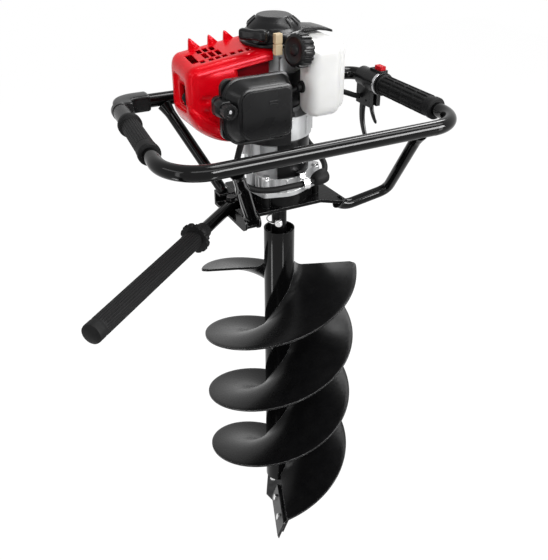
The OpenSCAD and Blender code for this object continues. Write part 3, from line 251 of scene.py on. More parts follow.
def dress(*cad_nodes):
    """Gives CAD nodes the finish of their slots."""
    for name in cad_nodes:
        mesh = frame["nodes"][name].data
        mesh.materials.clear()
        mesh.materials.append(FINISHES[SLOT_OF[name]])


finish("gloss_black", (0.003, 0.003, 0.0032), 0.09, drift=0.02, grain=0.008, grain_size=0.002, wave=0.05,
       shine=0.15)
# The satin black's light edge colour is a painted highlight along the rims of the flights and sheets.
finish("satin_black", (0.004, 0.004, 0.0043), 0.27, grain=0.03, grain_size=0.0012,
       tint=(0.006, 0.006, 0.0063), edge_wear_and_sheen=(0.40, 0.40, 0.405), shine=0.09)
dress("bit_tube", "bit_socket")


# Flights
# Two right-hand screws rolled from steel plate, welded to the core tube half a turn apart and powder
# coated. Each ends at the foot in a steeper lip that carries a blade, and starts with a rounded corner.
FLIGHT_TOP = 0.667
FLIGHT_R = 0.150
FLIGHT_IN = 0.0292
FLIGHT_PITCH = 0.296
FLIGHT_TURNS = 1.75
FLIGHT_THICK = 0.005
FLIGHT_CORNER = 0.010
FLIGHT_HEADINGS = {"flight_a": 159, "flight_b": 339}
LIP_TURNS = 1 / 3.4
LIP_DIP = 0.024
WELD_RISE = 0.008
WELD_UNDER = 0.6
WELD_SHARE = 0.14
RIM_SHARE = 0.985
RIM_SOFT = 0.0009
PLATE_SHARES = np.concatenate([np.linspace(0, WELD_SHARE, 9), np.linspace(0.2, RIM_SHARE, 14),
                               [0.993, 0.998, 1.0]])
CRISP_ANGLE = 38


def points(x, y, z):
    """Points from three coordinates, each a number or an array, broadcast to one grid."""
    return np.stack(np.broadcast_arrays(x, y, z), axis=-1)


def share_of(value, low, high):
    """Share of the way from low, where it is 0, to high, where it is 1."""
    return np.clip((value - low) / (high - low), 0, 1)


def skin(name, grid, wrap=True, holes=None, turn_out=True):
    """Quads through a grid of points, rows by columns. Columns close into a loop where wrap is true, cells
    marked in holes stay open, points that meet at a pole become one, and faces are turned to the outside."""
    rows, cols = grid.shape[:2]
    index = np.arange(rows * cols).reshape(rows, cols)
    if wrap:
        index = np.concatenate([index, index[:, :1]], axis=1)
    quads = np.stack([index[:-1, :-1], index[:-1, 1:], index[1:, 1:], index[1:, :-1]], axis=-1)
    quads = quads.reshape(-1, 4) if holes is None else quads[~holes]
    mesh = bpy.data.meshes.new(name)
    mesh.from_pydata(grid.reshape(-1, 3).tolist(), [], quads.tolist())
    shell = bmesh.new()
    shell.from_mesh(mesh)
    bmesh.ops.remove_doubles(shell, verts=shell.verts, dist=1e-6)
    bmesh.ops.delete(shell, geom=[v for v in shell.verts if not v.link_faces], context="VERTS")
    if turn_out and shell.calc_volume(signed=True) < 0:
        bmesh.ops.reverse_faces(shell, faces=shell.faces)
    shell.to_mesh(mesh)
    shell.free()
    return mesh


def fit(name, form, body, slot_name, *stands_for, holes=None, modifiers=(), split=CRISP_ANGLE):
    """Puts in a piece of a body, or of no body, in a slot's finish and in place of CAD nodes. Its form is a
    mesh, or the grid of a closed skin with its holes. Modifiers, each a type with its settings, are
    applied, and edges past the split angle stay crisp."""
    mesh = skin(name, form, holes=holes) if isinstance(form, np.ndarray) else form
    item = bpy.data.objects.new(name, mesh)
    bpy.context.scene.collection.objects.link(item)
    for kind, settings in modifiers:
        step = item.modifiers.new(kind.lower(), kind)
        for key, value in settings.items():
            setattr(step, key, value)
    if modifiers:
        bpy.context.view_layer.update()
        done = item.evaluated_get(bpy.context.evaluated_depsgraph_get())
        item.data = bpy.data.meshes.new_from_object(done)
        item.modifiers.clear()
    item.data.polygons.foreach_set("use_smooth", np.ones(len(item.data.polygons), bool))
    item.data.set_sharp_from_angle(angle=math.radians(split))
    item.data.materials.clear()
    item.data.materials.append(FINISHES[slot_name])
    if body:
        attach(item, body)
    if stands_for:
        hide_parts(*stands_for)
    return item


def flight(heading):
    """Helicoid: radius by share of the plate's width, at an angle that falls with the turns while the height
    falls by the pitch. Rows run down the helix and columns round the section, whose inner rim sweeps up
    into the weld on the tube."""
    turn = np.concatenate([[0], np.linspace(0, FLIGHT_TURNS, 420), [FLIGHT_TURNS]])
    lip = share_of(turn, FLIGHT_TURNS - LIP_TURNS, FLIGHT_TURNS)
    height = (FLIGHT_TOP - FLIGHT_PITCH * turn - LIP_DIP * lip ** 2)[:, None]
    angle = (math.radians(heading) - 2 * math.pi * turn)[:, None]
    run = share_of(turn * 2 * math.pi * FLIGHT_R, 0, FLIGHT_CORNER)
    reach = (FLIGHT_R - FLIGHT_CORNER * (1 - np.sqrt(1 - (1 - run) ** 2)))[:, None]
    share = np.concatenate([PLATE_SHARES, PLATE_SHARES[::-1]])
    over = np.arange(len(share)) < len(share) // 2
    soft = RIM_SOFT * share_of(share, RIM_SHARE, 1) ** 2
    weld = WELD_RISE * share_of(share, WELD_SHARE, 0) ** 2
    lift = np.where(over, weld - soft, -FLIGHT_THICK - WELD_UNDER * weld + soft)
    radius = FLIGHT_IN + share * (reach - FLIGHT_IN)
    grid = points(radius * np.cos(angle), radius * np.sin(angle), height + lift)
    grid[[0, -1]] = (grid[[0, -1]] + grid[[0, -1], ::-1]) / 2
    return grid


# The satin finish paints a light highlight along each plate's rim.
for cad_flight, heading in FLIGHT_HEADINGS.items():
    fit(cad_flight + "_plate", flight(heading), "bit", "satin_black", cad_flight)


# Cutting end
# Two forged holders welded under the flights, the hard steel blades bolted to them, and the pilot point
# that is bolted into the tube's open foot. The steel that digs is left bare and oiled.
finish("blade_steel", (0.016, 0.016, 0.0165), 0.36, drift=0.1, grain=0.12, grain_size=0.0025,
       tint=(0.04, 0.04, 0.041), edge_wear_and_sheen=(0.3, 0.3, 0.3), Metallic=0.7)
finish("bright_steel", (0.74, 0.74, 0.74), 0.22, drift=0.08, grain=0.02, tint=(0.6, 0.6, 0.6), Metallic=1.0)
dress("blade_holders", "cutting_blades", "blade_bolts", "pilot_point", "pilot_bolts")


# Drive pin and gears
# A steel pin with a sprung wire ring locks the bit on the output shaft. Above it, ground steel gears run
# in oil from the clutch drum down to that shaft.
finish("gear_steel", (0.45, 0.45, 0.46), 0.28, drift=0.08, grain=0.03, tint=(0.36, 0.36, 0.37), Metallic=1.0)
finish("cast_silver", (0.44, 0.445, 0.45), 0.38, drift=0.1, grain=0.16, grain_size=0.0016,
       tint=(0.38, 0.385, 0.39), edge_wear_and_sheen=(0.8, 0.8, 0.8), Metallic=0.62)
dress("cross_pin", "pin_wire", "output_shaft", "output_gear", "output_bearing", "countershaft", "clutch_drum",
      "clutch_shoes", "flywheel_fan")


# Gear case
# Two die-cast halves bolted through the base plate, the lower one sprayed black under a bare joint flange.
# The clutch and fan housings stand on them as ribbed castings, a pressed guard is clipped round their right
# side, and a moulded cowl round the fan on the left.
CRANK = np.array([0.0, 0.020])
SHEET_THICK = 0.0016
RIM_IN = np.array([0.0020, 0.0004, 0, 0, 0, 0, 0.0004, 0.0020])
GUARD_R = 0.0622
GUARD_TURN = np.radians(np.linspace(-112, 30, 56))
GUARD_Z = np.array([0.9335, 0.9315, 0.925, 0.90, 0.875, 0.853, 0.8485, 0.8465])
COWL_R = 0.0688
COWL_TURN = np.radians(np.linspace(-215, -92, 52))
COWL_Z = np.array([0.9765, 0.9750, 0.968, 0.958, 0.945, 0.935, 0.930, 0.9285])
FLANGE_SIDES = 180
FLANGE_EDGE = ((0.0002, 0.8325), (0.0012, 0.8332), (0.0012, 0.8411), (0.0002, 0.8418), (-0.0025, 0.8418),
               (-0.0025, 0.8325), (0.0002, 0.8325))


def arc_sheet(turn, rise, radius):
    """Sheet bent round the crank's upright axis: angle by height, at a radius given for each height."""
    turn = turn[:, None]
    return points(CRANK[0] + radius * np.cos(turn), CRANK[1] + radius * np.sin(turn), rise)


def fit_sheet(name, grid, slot_name, thick, offset=-1):
    """Fits an open sheet to the machine's frame and gives it its thickness, inwards or to both sides."""
    mesh = skin(name, grid, wrap=False, turn_out=False)
    wall = ("SOLIDIFY", {"thickness": thick, "offset": offset})
    return fit(name, mesh, "frame", slot_name, modifiers=[wall])


def full_turn(sides):
    """Angles of one whole turn in even steps."""
    return np.linspace(0, 2 * math.pi, sides, endpoint=False)


def joint_flange():
    """Flange round the lower case: for each direction the case's furthest point, carried round the flange's
    section by an offset outwards and a height."""
    case = frame["nodes"]["gearbox_lower"].data
    corners = np.empty(3 * len(case.vertices), np.float32)
    case.vertices.foreach_get("co", corners)
    corners = corners.reshape(-1, 3)[:, :2].astype(float)
    turn = full_turn(FLANGE_SIDES)
    way = np.stack([np.cos(turn), np.sin(turn)])
    x, y = corners[np.argmax(corners @ way, axis=0)].T
    out, z = np.array(FLANGE_EDGE).T[..., None]
    return points(x + out * way[0], y + out * way[1], z)


finish("black_plastic", (0.0065, 0.0065, 0.007), 0.28, grain=0.04, grain_size=0.0011,
       edge_wear_and_sheen=(0.025, 0.025, 0.026), shine=0.15)
dress("gearbox_lower", "gearbox_upper", "gearbox_bolts", "clutch_housing", "fan_housing")
# Its satin finish paints a light highlight along the guard's edges.
fit_sheet("case_guard", arc_sheet(GUARD_TURN, GUARD_Z, GUARD_R - RIM_IN), "satin_black", SHEET_THICK)
fit("case_flange", joint_flange(), "frame", "cast_silver")
fit_sheet("fan_cowl", arc_sheet(COWL_TURN, COWL_Z, COWL_R - RIM_IN), "black_plastic", SHEET_THICK)


# Engine block
# The crankcase and the finned cylinder are die-cast aluminium. The muffler is a black pressed box behind
# them, the plug wears a rubber boot, and a moulded shield covers the crankcase towards the filter.
SHIELD_R = 0.0470
SHIELD_THICK = 0.0014
SHIELD_TURN = np.radians(np.linspace(-132, -38, 36))
SHIELD_Z = np.array([1.045, 1.0435, 1.036, 1.02, 1.0, 0.990, 0.9855, 0.984])
SHIELD_IN = np.array([0.0016, 0.0003, 0, 0, 0, 0, 0.0003, 0.0016])

finish("black_rubber", (0.005, 0.005, 0.0053), 0.62, drift=0.06, grain=0.08, grain_size=0.0014, shine=0.11)
dress("crankcase", "cylinder", "spark_plug", "plug_cap", "muffler", "ignition_coil")
shield = arc_sheet(SHIELD_TURN, SHIELD_Z, SHIELD_R - SHIELD_IN)
fit_sheet("crankcase_shield", shield, "black_plastic", SHIELD_THICK)


# Shroud
# One glossy red moulding over the cylinder. Its roof climbs to the right and to the rear and is slotted
# for cooling air, the front wall is scooped out beside the crankcase, and a sheet in a darker red behind
# the opening is painted shade for its inside. The left end has a recess round the plug. Three fins along the
# rear edge keep hands off the muffler.
RED_GLEAM = (1, 0.14, 0.18, 1)
SHROUD_RIGHT = -0.024
SHROUD_LEFT = -0.155
SHROUD_Y = 0.020
SHROUD_HALF = 0.045
SHROUD_ROUND = 0.015
SHROUD_THICK = 0.0025
END_ROUND = 0.016
END_TIGHTER = 0.4
WALL_LINES = np.concatenate([np.linspace(-1, 0.85, 32), [0.88, 0.905, 0.93, 0.965, 1.0]])
ROOF_Z = 1.0735
ROOF_X = -0.153
ROOF_SLOPE = 0.134
ROOF_RISE = 0.008
RISE_Y = (-0.009, 0.049)
RISE_Z = (1.0, 1.06)
SKIRT_Z = 0.939
SKIRT_RISE = 0.028
SKIRT_FROM = -0.085
SKIRT_RUN = 0.070
SKIRT_MOST = 1.2
SCOOP_DEEP = 0.006
SCOOP_UP = (0.93, 0.88)
SCOOP_EDGE = (-0.093, -0.084)
SCOOP_OPEN = (0.2, 0.9)
SCOOP_LEFT = -0.0865
BAND_PROUD = 0.006
BAND_UP = (0.034, 0.026)
BAND_ALONG = (-0.040, -0.070)
BULGE_PROUD = 0.006
BULGE_ALONG = (-0.165, -0.120)
DENT_DEEP = 0.0045
DENT_HALF = (0.009, 0.005)
DENTS = ((-0.143, 1.021), (-0.139, 1.002))
PLUG_Z = 1.021
MOUTH_HALF = (0.008, 0.011)
MOUTH_ROUND = 0.006
RECESS = ((0.12, 0), (0.26, 0), (0.32, 0.0045), (0.6, 0.005), (0.94, 0.005), (1, 0.0056), (1, 0.012))
BIG_SLOT = (-0.1550, -0.1430, -0.001, 0.032)
ROOF_SLOT_X = (-0.1265, -0.1150, -0.1035)
ROOF_SLOT_Y = ((0.0048, 0.0235, 0.0), (0.0264, 0.0410, 0.003))
ROOF_SLOT_HALF = 0.0041
FRONT_SLOT_X = (-0.138, -0.1235, -0.1115, -0.0995, -0.0855, -0.0715, -0.0585)
FRONT_SLOT_Y = (-0.0072, 0.0016)
FRONT_SLOT_HALF = 0.0042
STARTER_SEAT = (0.0575, 1.0915)
FAN_SEAT = (0.0655, 0.971)
FLAT = 0.99


def rounded_loop(wall, roof, corner):
    """Loop of a rounded rectangle: where each point sits on the flats (-1 to 1 across and up) and its outward
    normal. It climbs the first wall, crosses the roof, comes down the far wall and back underneath."""
    turn = np.linspace(0, math.pi / 2, corner + 2)[1:-1]
    sin, cos = np.sin(turn), np.cos(turn)
    parts = [(-1, wall, -1, 0), (-1, 1, -cos, sin), (roof, 1, 0, 1), (1, 1, sin, cos),
             (1, wall[::-1], 1, 0), (1, -1, cos, -sin), (roof[::-1], -1, 0, -1), (-1, -1, -sin, -cos)]
    return np.concatenate([np.stack(np.broadcast_arrays(*part), axis=-1) for part in parts]).T


def ramp(value, low, high):
    """Smooth step from 0 at low to 1 at high."""
    share = share_of(value, low, high)
    return share * share * (3 - 2 * share)


def crisp_bevel(width, angle):
    """Settings of a Bevel of that width on edges past the angle."""
    return "BEVEL", {"width": width, "segments": 2, "limit_method": "ANGLE", "angle_limit": angle}


finish("red_plastic", (0.70, 0.0012, 0.0075), 0.2, grain=0.008, grain_size=0.002, wave=0.35,
       tint=(0.62, 0.001, 0.006), shine=0.38, **{"Specular Tint": RED_GLEAM})
# A shaded copy of the red plastic: its darker red is painted shade for the inside of the scoop.
finish("red_painted_shade", (0.15, 0.0006, 0.003), 0.5, grain=0.02, grain_size=0.002, shine=0.12,
       **{"Specular Tint": RED_GLEAM})

slots = [BIG_SLOT]
slots += [(x - ROOF_SLOT_HALF - tip, x + ROOF_SLOT_HALF - tip, near, far)
          for x in ROOF_SLOT_X for near, far, tip in ROOF_SLOT_Y]
slots += [(x - FRONT_SLOT_HALF, x + FRONT_SLOT_HALF, *FRONT_SLOT_Y) for x in FRONT_SLOT_X]
flat_half = SHROUD_HALF - SHROUD_ROUND
roof_lines = {y for slot in slots for y in slot[2:]} | {SHROUD_Y - flat_half, SHROUD_Y + flat_half}
roof_lines = (np.array(sorted(roof_lines)) - SHROUD_Y) / flat_half
cy, cz, ny, nz = rounded_loop(WALL_LINES, roof_lines, 9)

# Rows run from the open right side to the left end, which draws in along a quarter circle.
end_turn = np.linspace(0, math.pi / 2, 9)[1:]
slot_ends = [x for slot in slots for x in slot[:2]]
body_x = np.concatenate([np.linspace(SHROUD_RIGHT, SHROUD_LEFT, 58), slot_ends])
body_x = np.unique(np.round(body_x, 5))[::-1]
row_x = np.concatenate([body_x, SHROUD_LEFT - END_ROUND * np.sin(end_turn)])[:, None]
inset = np.concatenate([0 * body_x, END_ROUND * (1 - np.cos(end_turn))])[:, None]
roof_z = ROOF_Z + ROOF_SLOPE * (row_x - ROOF_X)
skirt_z = SKIRT_Z + SKIRT_RISE * np.clip((SKIRT_FROM - row_x) / SKIRT_RUN, 0, SKIRT_MOST) ** 2
bend = SHROUD_ROUND - END_TIGHTER * inset
shroud_y = SHROUD_Y + cy * (SHROUD_HALF - inset - bend) + bend * ny
shroud_z = (roof_z + skirt_z) / 2 + cz * ((roof_z - skirt_z) / 2 - inset - bend) + bend * nz
shroud_z = shroud_z + ROOF_RISE * share_of(shroud_y, *RISE_Y) * share_of(shroud_z, *RISE_Z)

# The front wall carries the scoop, two dents, a proud band along the skirt and a slight bulge.
facing = np.clip(-ny, 0, 1) ** 2
scoop = ramp(cz, *SCOOP_UP) * ramp(row_x, *SCOOP_EDGE)
band = ramp(shroud_z - skirt_z, *BAND_UP) * ramp(row_x, *BAND_ALONG)
bulge = (1 - cz ** 2) * ramp(row_x, *BULGE_ALONG)
dents = sum(np.exp(-((row_x - x) / DENT_HALF[0]) ** 2 - ((shroud_z - z) / DENT_HALF[1]) ** 2)
            for x, z in DENTS)
pushed_in = SCOOP_DEEP * scoop + DENT_DEEP * dents - BAND_PROUD * band - BULGE_PROUD * bulge
shroud = points(row_x, shroud_y + facing * pushed_in, shroud_z)

# The end wall runs from the last row to the mouth of the plug's recess, by share of the way and depth.
mouth = points(SHROUD_LEFT - END_ROUND, SHROUD_Y + MOUTH_HALF[0] * cy + MOUTH_ROUND * ny,
               PLUG_Z + MOUTH_HALF[1] * cz + MOUTH_ROUND * nz)
end_wall = [shroud[-1] * (1 - share) + mouth * share + np.array([deep, 0, 0]) for share, deep in RECESS]
shroud = np.concatenate([shroud, np.stack(end_wall)])

# Cells stay open at the slots, in the scoop, and where the starter and the fan housing stand. Each of those
# two seats is a radius round the crank and a height.
beside = np.roll(shroud, -1, axis=1)
cell_x, cell_y, cell_z = np.moveaxis((shroud[:-1] + shroud[1:] + beside[:-1] + beside[1:]) / 4, -1, 0)
on_roof = (nz > FLAT) & (np.roll(nz, -1) > FLAT)
on_front = (ny < -FLAT) & (np.roll(ny, -1) < -FLAT)
on_front &= (cz > SCOOP_OPEN[0]) & (np.roll(cz, -1) < SCOOP_OPEN[1])
holes = on_roof & (np.arange(len(cell_x)) < len(row_x) - 1)[:, None]
holes &= np.any([(cell_x > x0) & (cell_x < x1) & (cell_y > y0) & (cell_y < y1) for x0, x1, y0, y1 in slots],
                axis=0)
from_crank = np.hypot(cell_x - CRANK[0], cell_y - CRANK[1])
holes |= (from_crank < STARTER_SEAT[0]) & (cell_z > STARTER_SEAT[1])
holes |= (from_crank < FAN_SEAT[0]) & (cell_z < FAN_SEAT[1])
holes |= on_front & (cell_x > SCOOP_LEFT)
fit("shroud_shell", shroud, "frame", "red_plastic", "engine_shroud", holes=holes,
    modifiers=[("SOLIDIFY", {"thickness": SHROUD_THICK, "offset": -1}), crisp_bevel(width=0.0006, angle=0.9)])

# The sheet behind the scoop has the shroud's slot; its darker red is painted shade inside the scoop.
SCOOP_SHADE_X = np.array([-0.0885, -0.0280])
SCOOP_SHADE_Y = -0.0165
SCOOP_SHADE_Z = np.array([(1.068, 1.075), (1.030, 1.030), (0.990, 0.990)])
SCOOP_SHADE_THICK = 0.0012
scoop_shade = points(SCOOP_SHADE_X, SCOOP_SHADE_Y, SCOOP_SHADE_Z)
shade_sheet = fit_sheet("scoop_painted_shade", scoop_shade, "red_plastic", SCOOP_SHADE_THICK, offset=0)
shade_sheet.data.materials[0] = FINISHES["red_painted_shade"]

# Each fin is one edge carried across the plate's thickness. A row says how far across it lies, and what share
# of the way its points are drawn in to the middle.
FIN_Y = 0.054
FIN_STEPS = ((0, 0), (0.0345, 0.0020), (0.0625, 0.0060))
FIN_EDGE = ((-0.1405, 1.066), (-0.1385, 1.0975), (-0.1370, 1.1005), (-0.1345, 1.0998), (-0.1060, 1.074),
            (-0.1050, 1.066))
FIN_ROWS = ((-0.0018, 1), (-0.0018, 0), (-0.0015, 0.0072), (0.0015, 0.0072), (0.0018, 0), (0.0018, 1))
fin_x, fin_z = np.array(FIN_EDGE).T
fin_across, fin_draw = np.array(FIN_ROWS).T[..., None]
for k, (along, up) in enumerate(FIN_STEPS):
    edge_x = fin_x + along + (fin_x.mean() - fin_x) * fin_draw
    edge_z = fin_z + up + (fin_z.mean() - fin_z) * fin_draw
    fit("shroud_fin_%d" % k, points(edge_x, FIN_Y + fin_across, edge_z), "frame", "red_plastic",
        modifiers=[crisp_bevel(width=0.0007, angle=0.6)])


# Air filter
# A black moulded cover clips over the foam element on the carburettor. Its base has a lip all round, the
# sides draw in to a raised front panel with a catch, and a ribbed knob with a bright screw holds the ear on
# its left.
COVER_ROWS = (
    (-0.0713, -0.1375, -0.0235, 0.9570, 1.0650, 0.012, 0.036),
    (-0.0760, -0.1385, -0.0225, 0.9560, 1.0660, 0.013, 0.037),
    (-0.0768, -0.1370, -0.0240, 0.9575, 1.0645, 0.013, 0.036),
    (-0.0772, -0.1350, -0.0250, 0.9590, 1.0630, 0.013, 0.036),
    (-0.0830, -0.1335, -0.0258, 0.9610, 1.0616, 0.013, 0.035),
    (-0.0900, -0.1305, -0.0268, 0.9640, 1.0596, 0.013, 0.033),
    (-0.0960, -0.1270, -0.0280, 0.9672, 1.0574, 0.013, 0.030),
    (-0.1000, -0.1245, -0.0290, 0.9695, 1.0560, 0.013, 0.027),
    (-0.1022, -0.1228, -0.0300, 0.9718, 1.0548, 0.012, 0.024),
    (-0.1030, -0.1212, -0.0316, 0.9740, 1.0532, 0.011, 0.021),
    (-0.1034, -0.1196, -0.0332, 0.9766, 1.0516, 0.010, 0.020),
    (-0.1036, -0.1188, -0.0339, 0.9774, 1.0508, 0.010, 0.020),
    (-0.1066, -0.1185, -0.0341, 0.9777, 1.0505, 0.010, 0.020),
    (-0.1072, -0.1177, -0.0348, 0.9784, 1.0498, 0.009, 0.019),
    (-0.1074, -0.1153, -0.0372, 0.9808, 1.0474, 0.008, 0.018),
    (-0.1075, -0.0763, -0.0763, 1.0140, 1.0140, 0, 0))
COVER_SPLIT = 30
UPPER_LEFT = 0.7
EAR_ROWS = (
    (-0.0712, -0.1510, -0.1180, 1.0090, 1.0370, 0.009),
    (-0.0760, -0.1515, -0.1175, 1.0085, 1.0375, 0.009),
    (-0.0860, -0.1500, -0.1185, 1.0095, 1.0365, 0.009),
    (-0.0888, -0.1490, -0.1195, 1.0105, 1.0355, 0.008),
    (-0.0893, -0.1470, -0.1215, 1.0125, 1.0335, 0.007),
    (-0.0893, -0.1340, -0.1340, 1.0230, 1.0230, 0))
CATCH_ROWS = (
    (-0.1070, -0.0735, -0.0575, 1.0265, 1.0325, 0.001),
    (-0.1079, -0.0734, -0.0576, 1.0266, 1.0324, 0.001),
    (-0.1080, -0.0728, -0.0582, 1.0272, 1.0318, 0.0006),
    (-0.1080, -0.0722, -0.0588, 1.0278, 1.0312, 0.0006),
    (-0.1074, -0.0720, -0.0590, 1.0280, 1.0310, 0.0005),
    (-0.1073, -0.0655, -0.0655, 1.0295, 1.0295, 0))
UP = np.array([0, 0, 1.0])
KNOB_FACE = np.array([-0.137, -0.1002, 1.023])
KNOB_WAY = np.array([0, -1.0, 0])
SCREW_FAR = np.array([0, 0.0022, 0.0030])
SCREW_R = np.array([0.0030, 0.0030, 0.0024])


def drawn_box(rows):
    """Moulding drawn along Y: each row is a rounded rectangle with its place, its two ends along X, its two
    ends along Z, its corner radius and, where it differs, that of the lower left corner. The upper left one
    lies most of the way to it. A last row of no size closes the face."""
    flat = np.linspace(-1, 1, 4)
    across, up, out_x, out_z = rounded_loop(flat, flat, 8)
    y, x0, x1, z0, z1, r, *low = np.array(rows).T[..., None]
    low_r = low[0] if low else r
    left_r = np.where(up == -1, low_r, np.where(up == 1, r + UPPER_LEFT * (low_r - r), r))
    r = np.where(across == -1, left_r, r)
    x = (x0 + x1) / 2 + across * ((x1 - x0) / 2 - r) + r * out_x
    z = (z0 + z1) / 2 + up * ((z1 - z0) / 2 - r) + r * out_z
    return points(x, y, z)


def capped(rings, ends):
    """Rings between two poles: each end's point fills a row of its own."""
    poles = np.repeat(ends[:, None], rings.shape[1], axis=1)
    return np.concatenate([poles[:1], rings, poles[1:]])


def turned(start, way, far, radius, sides):
    """Turned piece: a ring for each length along the way, its radius given for each length, or for each
    length and angle where it has a pattern. Both ends close to a pole."""
    side = np.cross(way, UP)
    side /= np.linalg.norm(side)
    top = np.cross(side, way)
    turn = full_turn(sides)[:, None]
    spoke = np.cos(turn) * side + np.sin(turn) * top
    line = start + far[:, None] * way
    return capped(line[:, None] + radius.reshape(len(far), -1, 1) * spoke, line[[0, -1]])


finish("foam", (0.05, 0.046, 0.04), 0.9, grain=0.6, grain_size=0.002)
dress("intake_block", "carburettor", "filter_base", "filter_element", "filter_knob")
fit("filter_cover_shell", drawn_box(COVER_ROWS), "frame", "black_plastic", "filter_cover", split=COVER_SPLIT)
fit("filter_cover_ear", drawn_box(EAR_ROWS), "frame", "black_plastic")
screw = turned(KNOB_FACE, KNOB_WAY, SCREW_FAR, SCREW_R, sides=32)
fit("knob_screw", screw, "filter_knob", "gear_steel")
fit("filter_cover_catch", drawn_box(CATCH_ROWS), "frame", "black_plastic")


# Recoil starter
# A black moulded dome with a flat crown over the rope pulley and its spring. Ribs stand on the dome's
# slope, a wing reaches over the tank, and the rope ends in a waisted pull bar that rests against its eye.
PULL_TURN = math.radians(222)
PULL_OUT = np.array([math.cos(PULL_TURN), math.sin(PULL_TURN), 0])
PULL_ACROSS = np.array([-PULL_OUT[1], PULL_OUT[0], 0])
PULL_EYE = np.array([*CRANK, 1.108])
TO_RIGHT = np.array([1.0, 0, 0])
DOME = ((1.0895, 0.0450), (1.0897, 0.0565), (1.0905, 0.0575), (1.0940, 0.0575), (1.0948, 0.0560),
        (1.0950, 0.0490), (1.1060, 0.0490), (1.1085, 0.0480), (1.1100, 0.0455), (1.1150, 0.0445),
        (1.1180, 0.0430), (1.1245, 0.0355), (1.1285, 0.0305), (1.1310, 0.0285), (1.1320, 0.0265))
DOME_SPLIT = 24
EYE_OUT = np.array([0.038, 0.0585, 0.0605, 0.0612])
EYE_GROW = (1, 1, 0.94, 0.80)
EYE_DROP = 0.002
EYE_SIZE = (0.024, 0.017, 0.004)
WING = ((0.030, 1.1045, 1, 1), (0.060, 1.1046, 1, 0.9), (0.078, 1.1042, 1, 0.62), (0.093, 1.1005, 0.94, 0.46),
        (0.105, 1.0965, 0.80, 0.36), (0.1075, 1.0945, 0.66, 0.1))
WING_SIZE = (0.034, 0.0115, 0.003)
BAR_SHIFT = -0.006 * PULL_ACROSS
BAR_PLACE = PULL_EYE + 0.0745 * PULL_OUT + 0.006 * UP + BAR_SHIFT
BAR_WAY = np.array([-0.0225, -0.0220, -0.0195, -0.0140, -0.006, 0, 0.006, 0.0140, 0.0195, 0.0220, 0.0225])
BAR_GROW = (0.70, 0.86, 0.98, 1.0, 0.88, 0.84, 0.88, 1.0, 0.98, 0.86, 0.70)
BAR_SIZE = (0.0150, 0.0180, 0.0060)
BOSS_R = 0.0075
BOSS_OUT = np.array([0.0630, 0.0645, 0.0720])
BOSS_GROW = (0.8, 1.0, 1.0)
ROPE_R = 0.0019
ROPE_OUT = np.linspace(0.050, 0.066, 24)
RIB_TURNS = np.radians([-75, -48, -21, 6, 33, 60, 87, 114, 141, 168])
RIB_R = np.array([0.0445, 0.0430, 0.0392, 0.0355, 0.0315])
RIB_Z = np.array([1.1140, 1.1184, 1.1218, 1.1250, 1.1280])
RIB_SIZE = (0.0050, 0.0030, 0.0012)


def sweep(path, outline, grow=1.0, ref=UP):
    """Outline carried along a path: each point of the outline is an offset to the side and one upwards, seen
    along the way. The outline may grow along the path, and both ends close to a pole."""
    path = np.asarray(path, float)
    way = np.gradient(path, axis=0)
    way /= np.linalg.norm(way, axis=1, keepdims=True)
    side = np.cross(way, ref)
    side /= np.linalg.norm(side, axis=1, keepdims=True)
    top = np.cross(side, way)
    grow = np.asarray(grow, float)
    grow = np.broadcast_to(grow if grow.ndim == 2 else grow.reshape(-1, 1), (len(path), 2))
    offset = grow[:, None] * outline
    rings = path[:, None] + offset[..., :1] * side[:, None] + offset[..., 1:] * top[:, None]
    return capped(rings, path[[0, -1]])


def rounded(width, height, radius, corner=5):
    """Outline of a rounded rectangle about its middle."""
    flat = np.array([-1.0, 1.0])
    across, up, out_x, out_y = rounded_loop(flat, flat, corner)
    x = across * (width / 2 - radius) + radius * out_x
    y = up * (height / 2 - radius) + radius * out_y
    return np.stack([x, y], axis=-1)


def circle(radius, sides=28):
    """Outline of a circle about its middle."""
    turn = full_turn(sides)
    return radius * np.stack([np.cos(turn), np.sin(turn)], axis=-1)


finish("pulley_plastic", (0.72, 0.71, 0.68), 0.45, grain=0.03, tint=(0.66, 0.65, 0.62))
dress("starter_pulley", "recoil_spring")
dome_z, dome_r = np.array(DOME).T
dome = sweep(points(*CRANK, dome_z), circle(1.0, sides=96), dome_r, ref=TO_RIGHT)
fit("starter_dome", dome, "frame", "black_plastic", "starter_housing", split=DOME_SPLIT)
eye_path = PULL_EYE + EYE_OUT[:, None] * PULL_OUT - EYE_DROP * UP
fit("starter_eye", sweep(eye_path, rounded(*EYE_SIZE), EYE_GROW), "frame", "black_plastic")
wing_x, wing_z, wing_wide, wing_tall = np.array(WING).T
wing_path = points(wing_x, CRANK[1], wing_z)
wing_grow = np.stack([wing_wide, wing_tall], axis=-1)
fit("starter_wing", sweep(wing_path, rounded(*WING_SIZE), wing_grow), "frame", "black_plastic")
bar_path = BAR_PLACE + BAR_WAY[:, None] * PULL_ACROSS
pull_bar = sweep(bar_path, rounded(*BAR_SIZE), BAR_GROW)
fit("pull_bar", pull_bar, "starter_handle", "black_plastic", "starter_handle")
boss_path = PULL_EYE + BAR_SHIFT / 2 + BOSS_OUT[:, None] * PULL_OUT
fit("pull_bar_boss", sweep(boss_path, circle(BOSS_R), BOSS_GROW), "starter_handle", "black_plastic")
rope_path = PULL_EYE + ROPE_OUT[:, None] * PULL_OUT
rope = fit("starter_rope", sweep(rope_path, circle(ROPE_R, sides=12)), None, "black_rubber")
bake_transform(rope)
for k, rib_turn in enumerate(RIB_TURNS):
    rib_path = points(CRANK[0] + RIB_R * math.cos(rib_turn), CRANK[1] + RIB_R * math.sin(rib_turn), RIB_Z)
    fit("dome_rib_%d" % k, sweep(rib_path, rounded(*RIB_SIZE, corner=3)), "frame", "black_plastic")


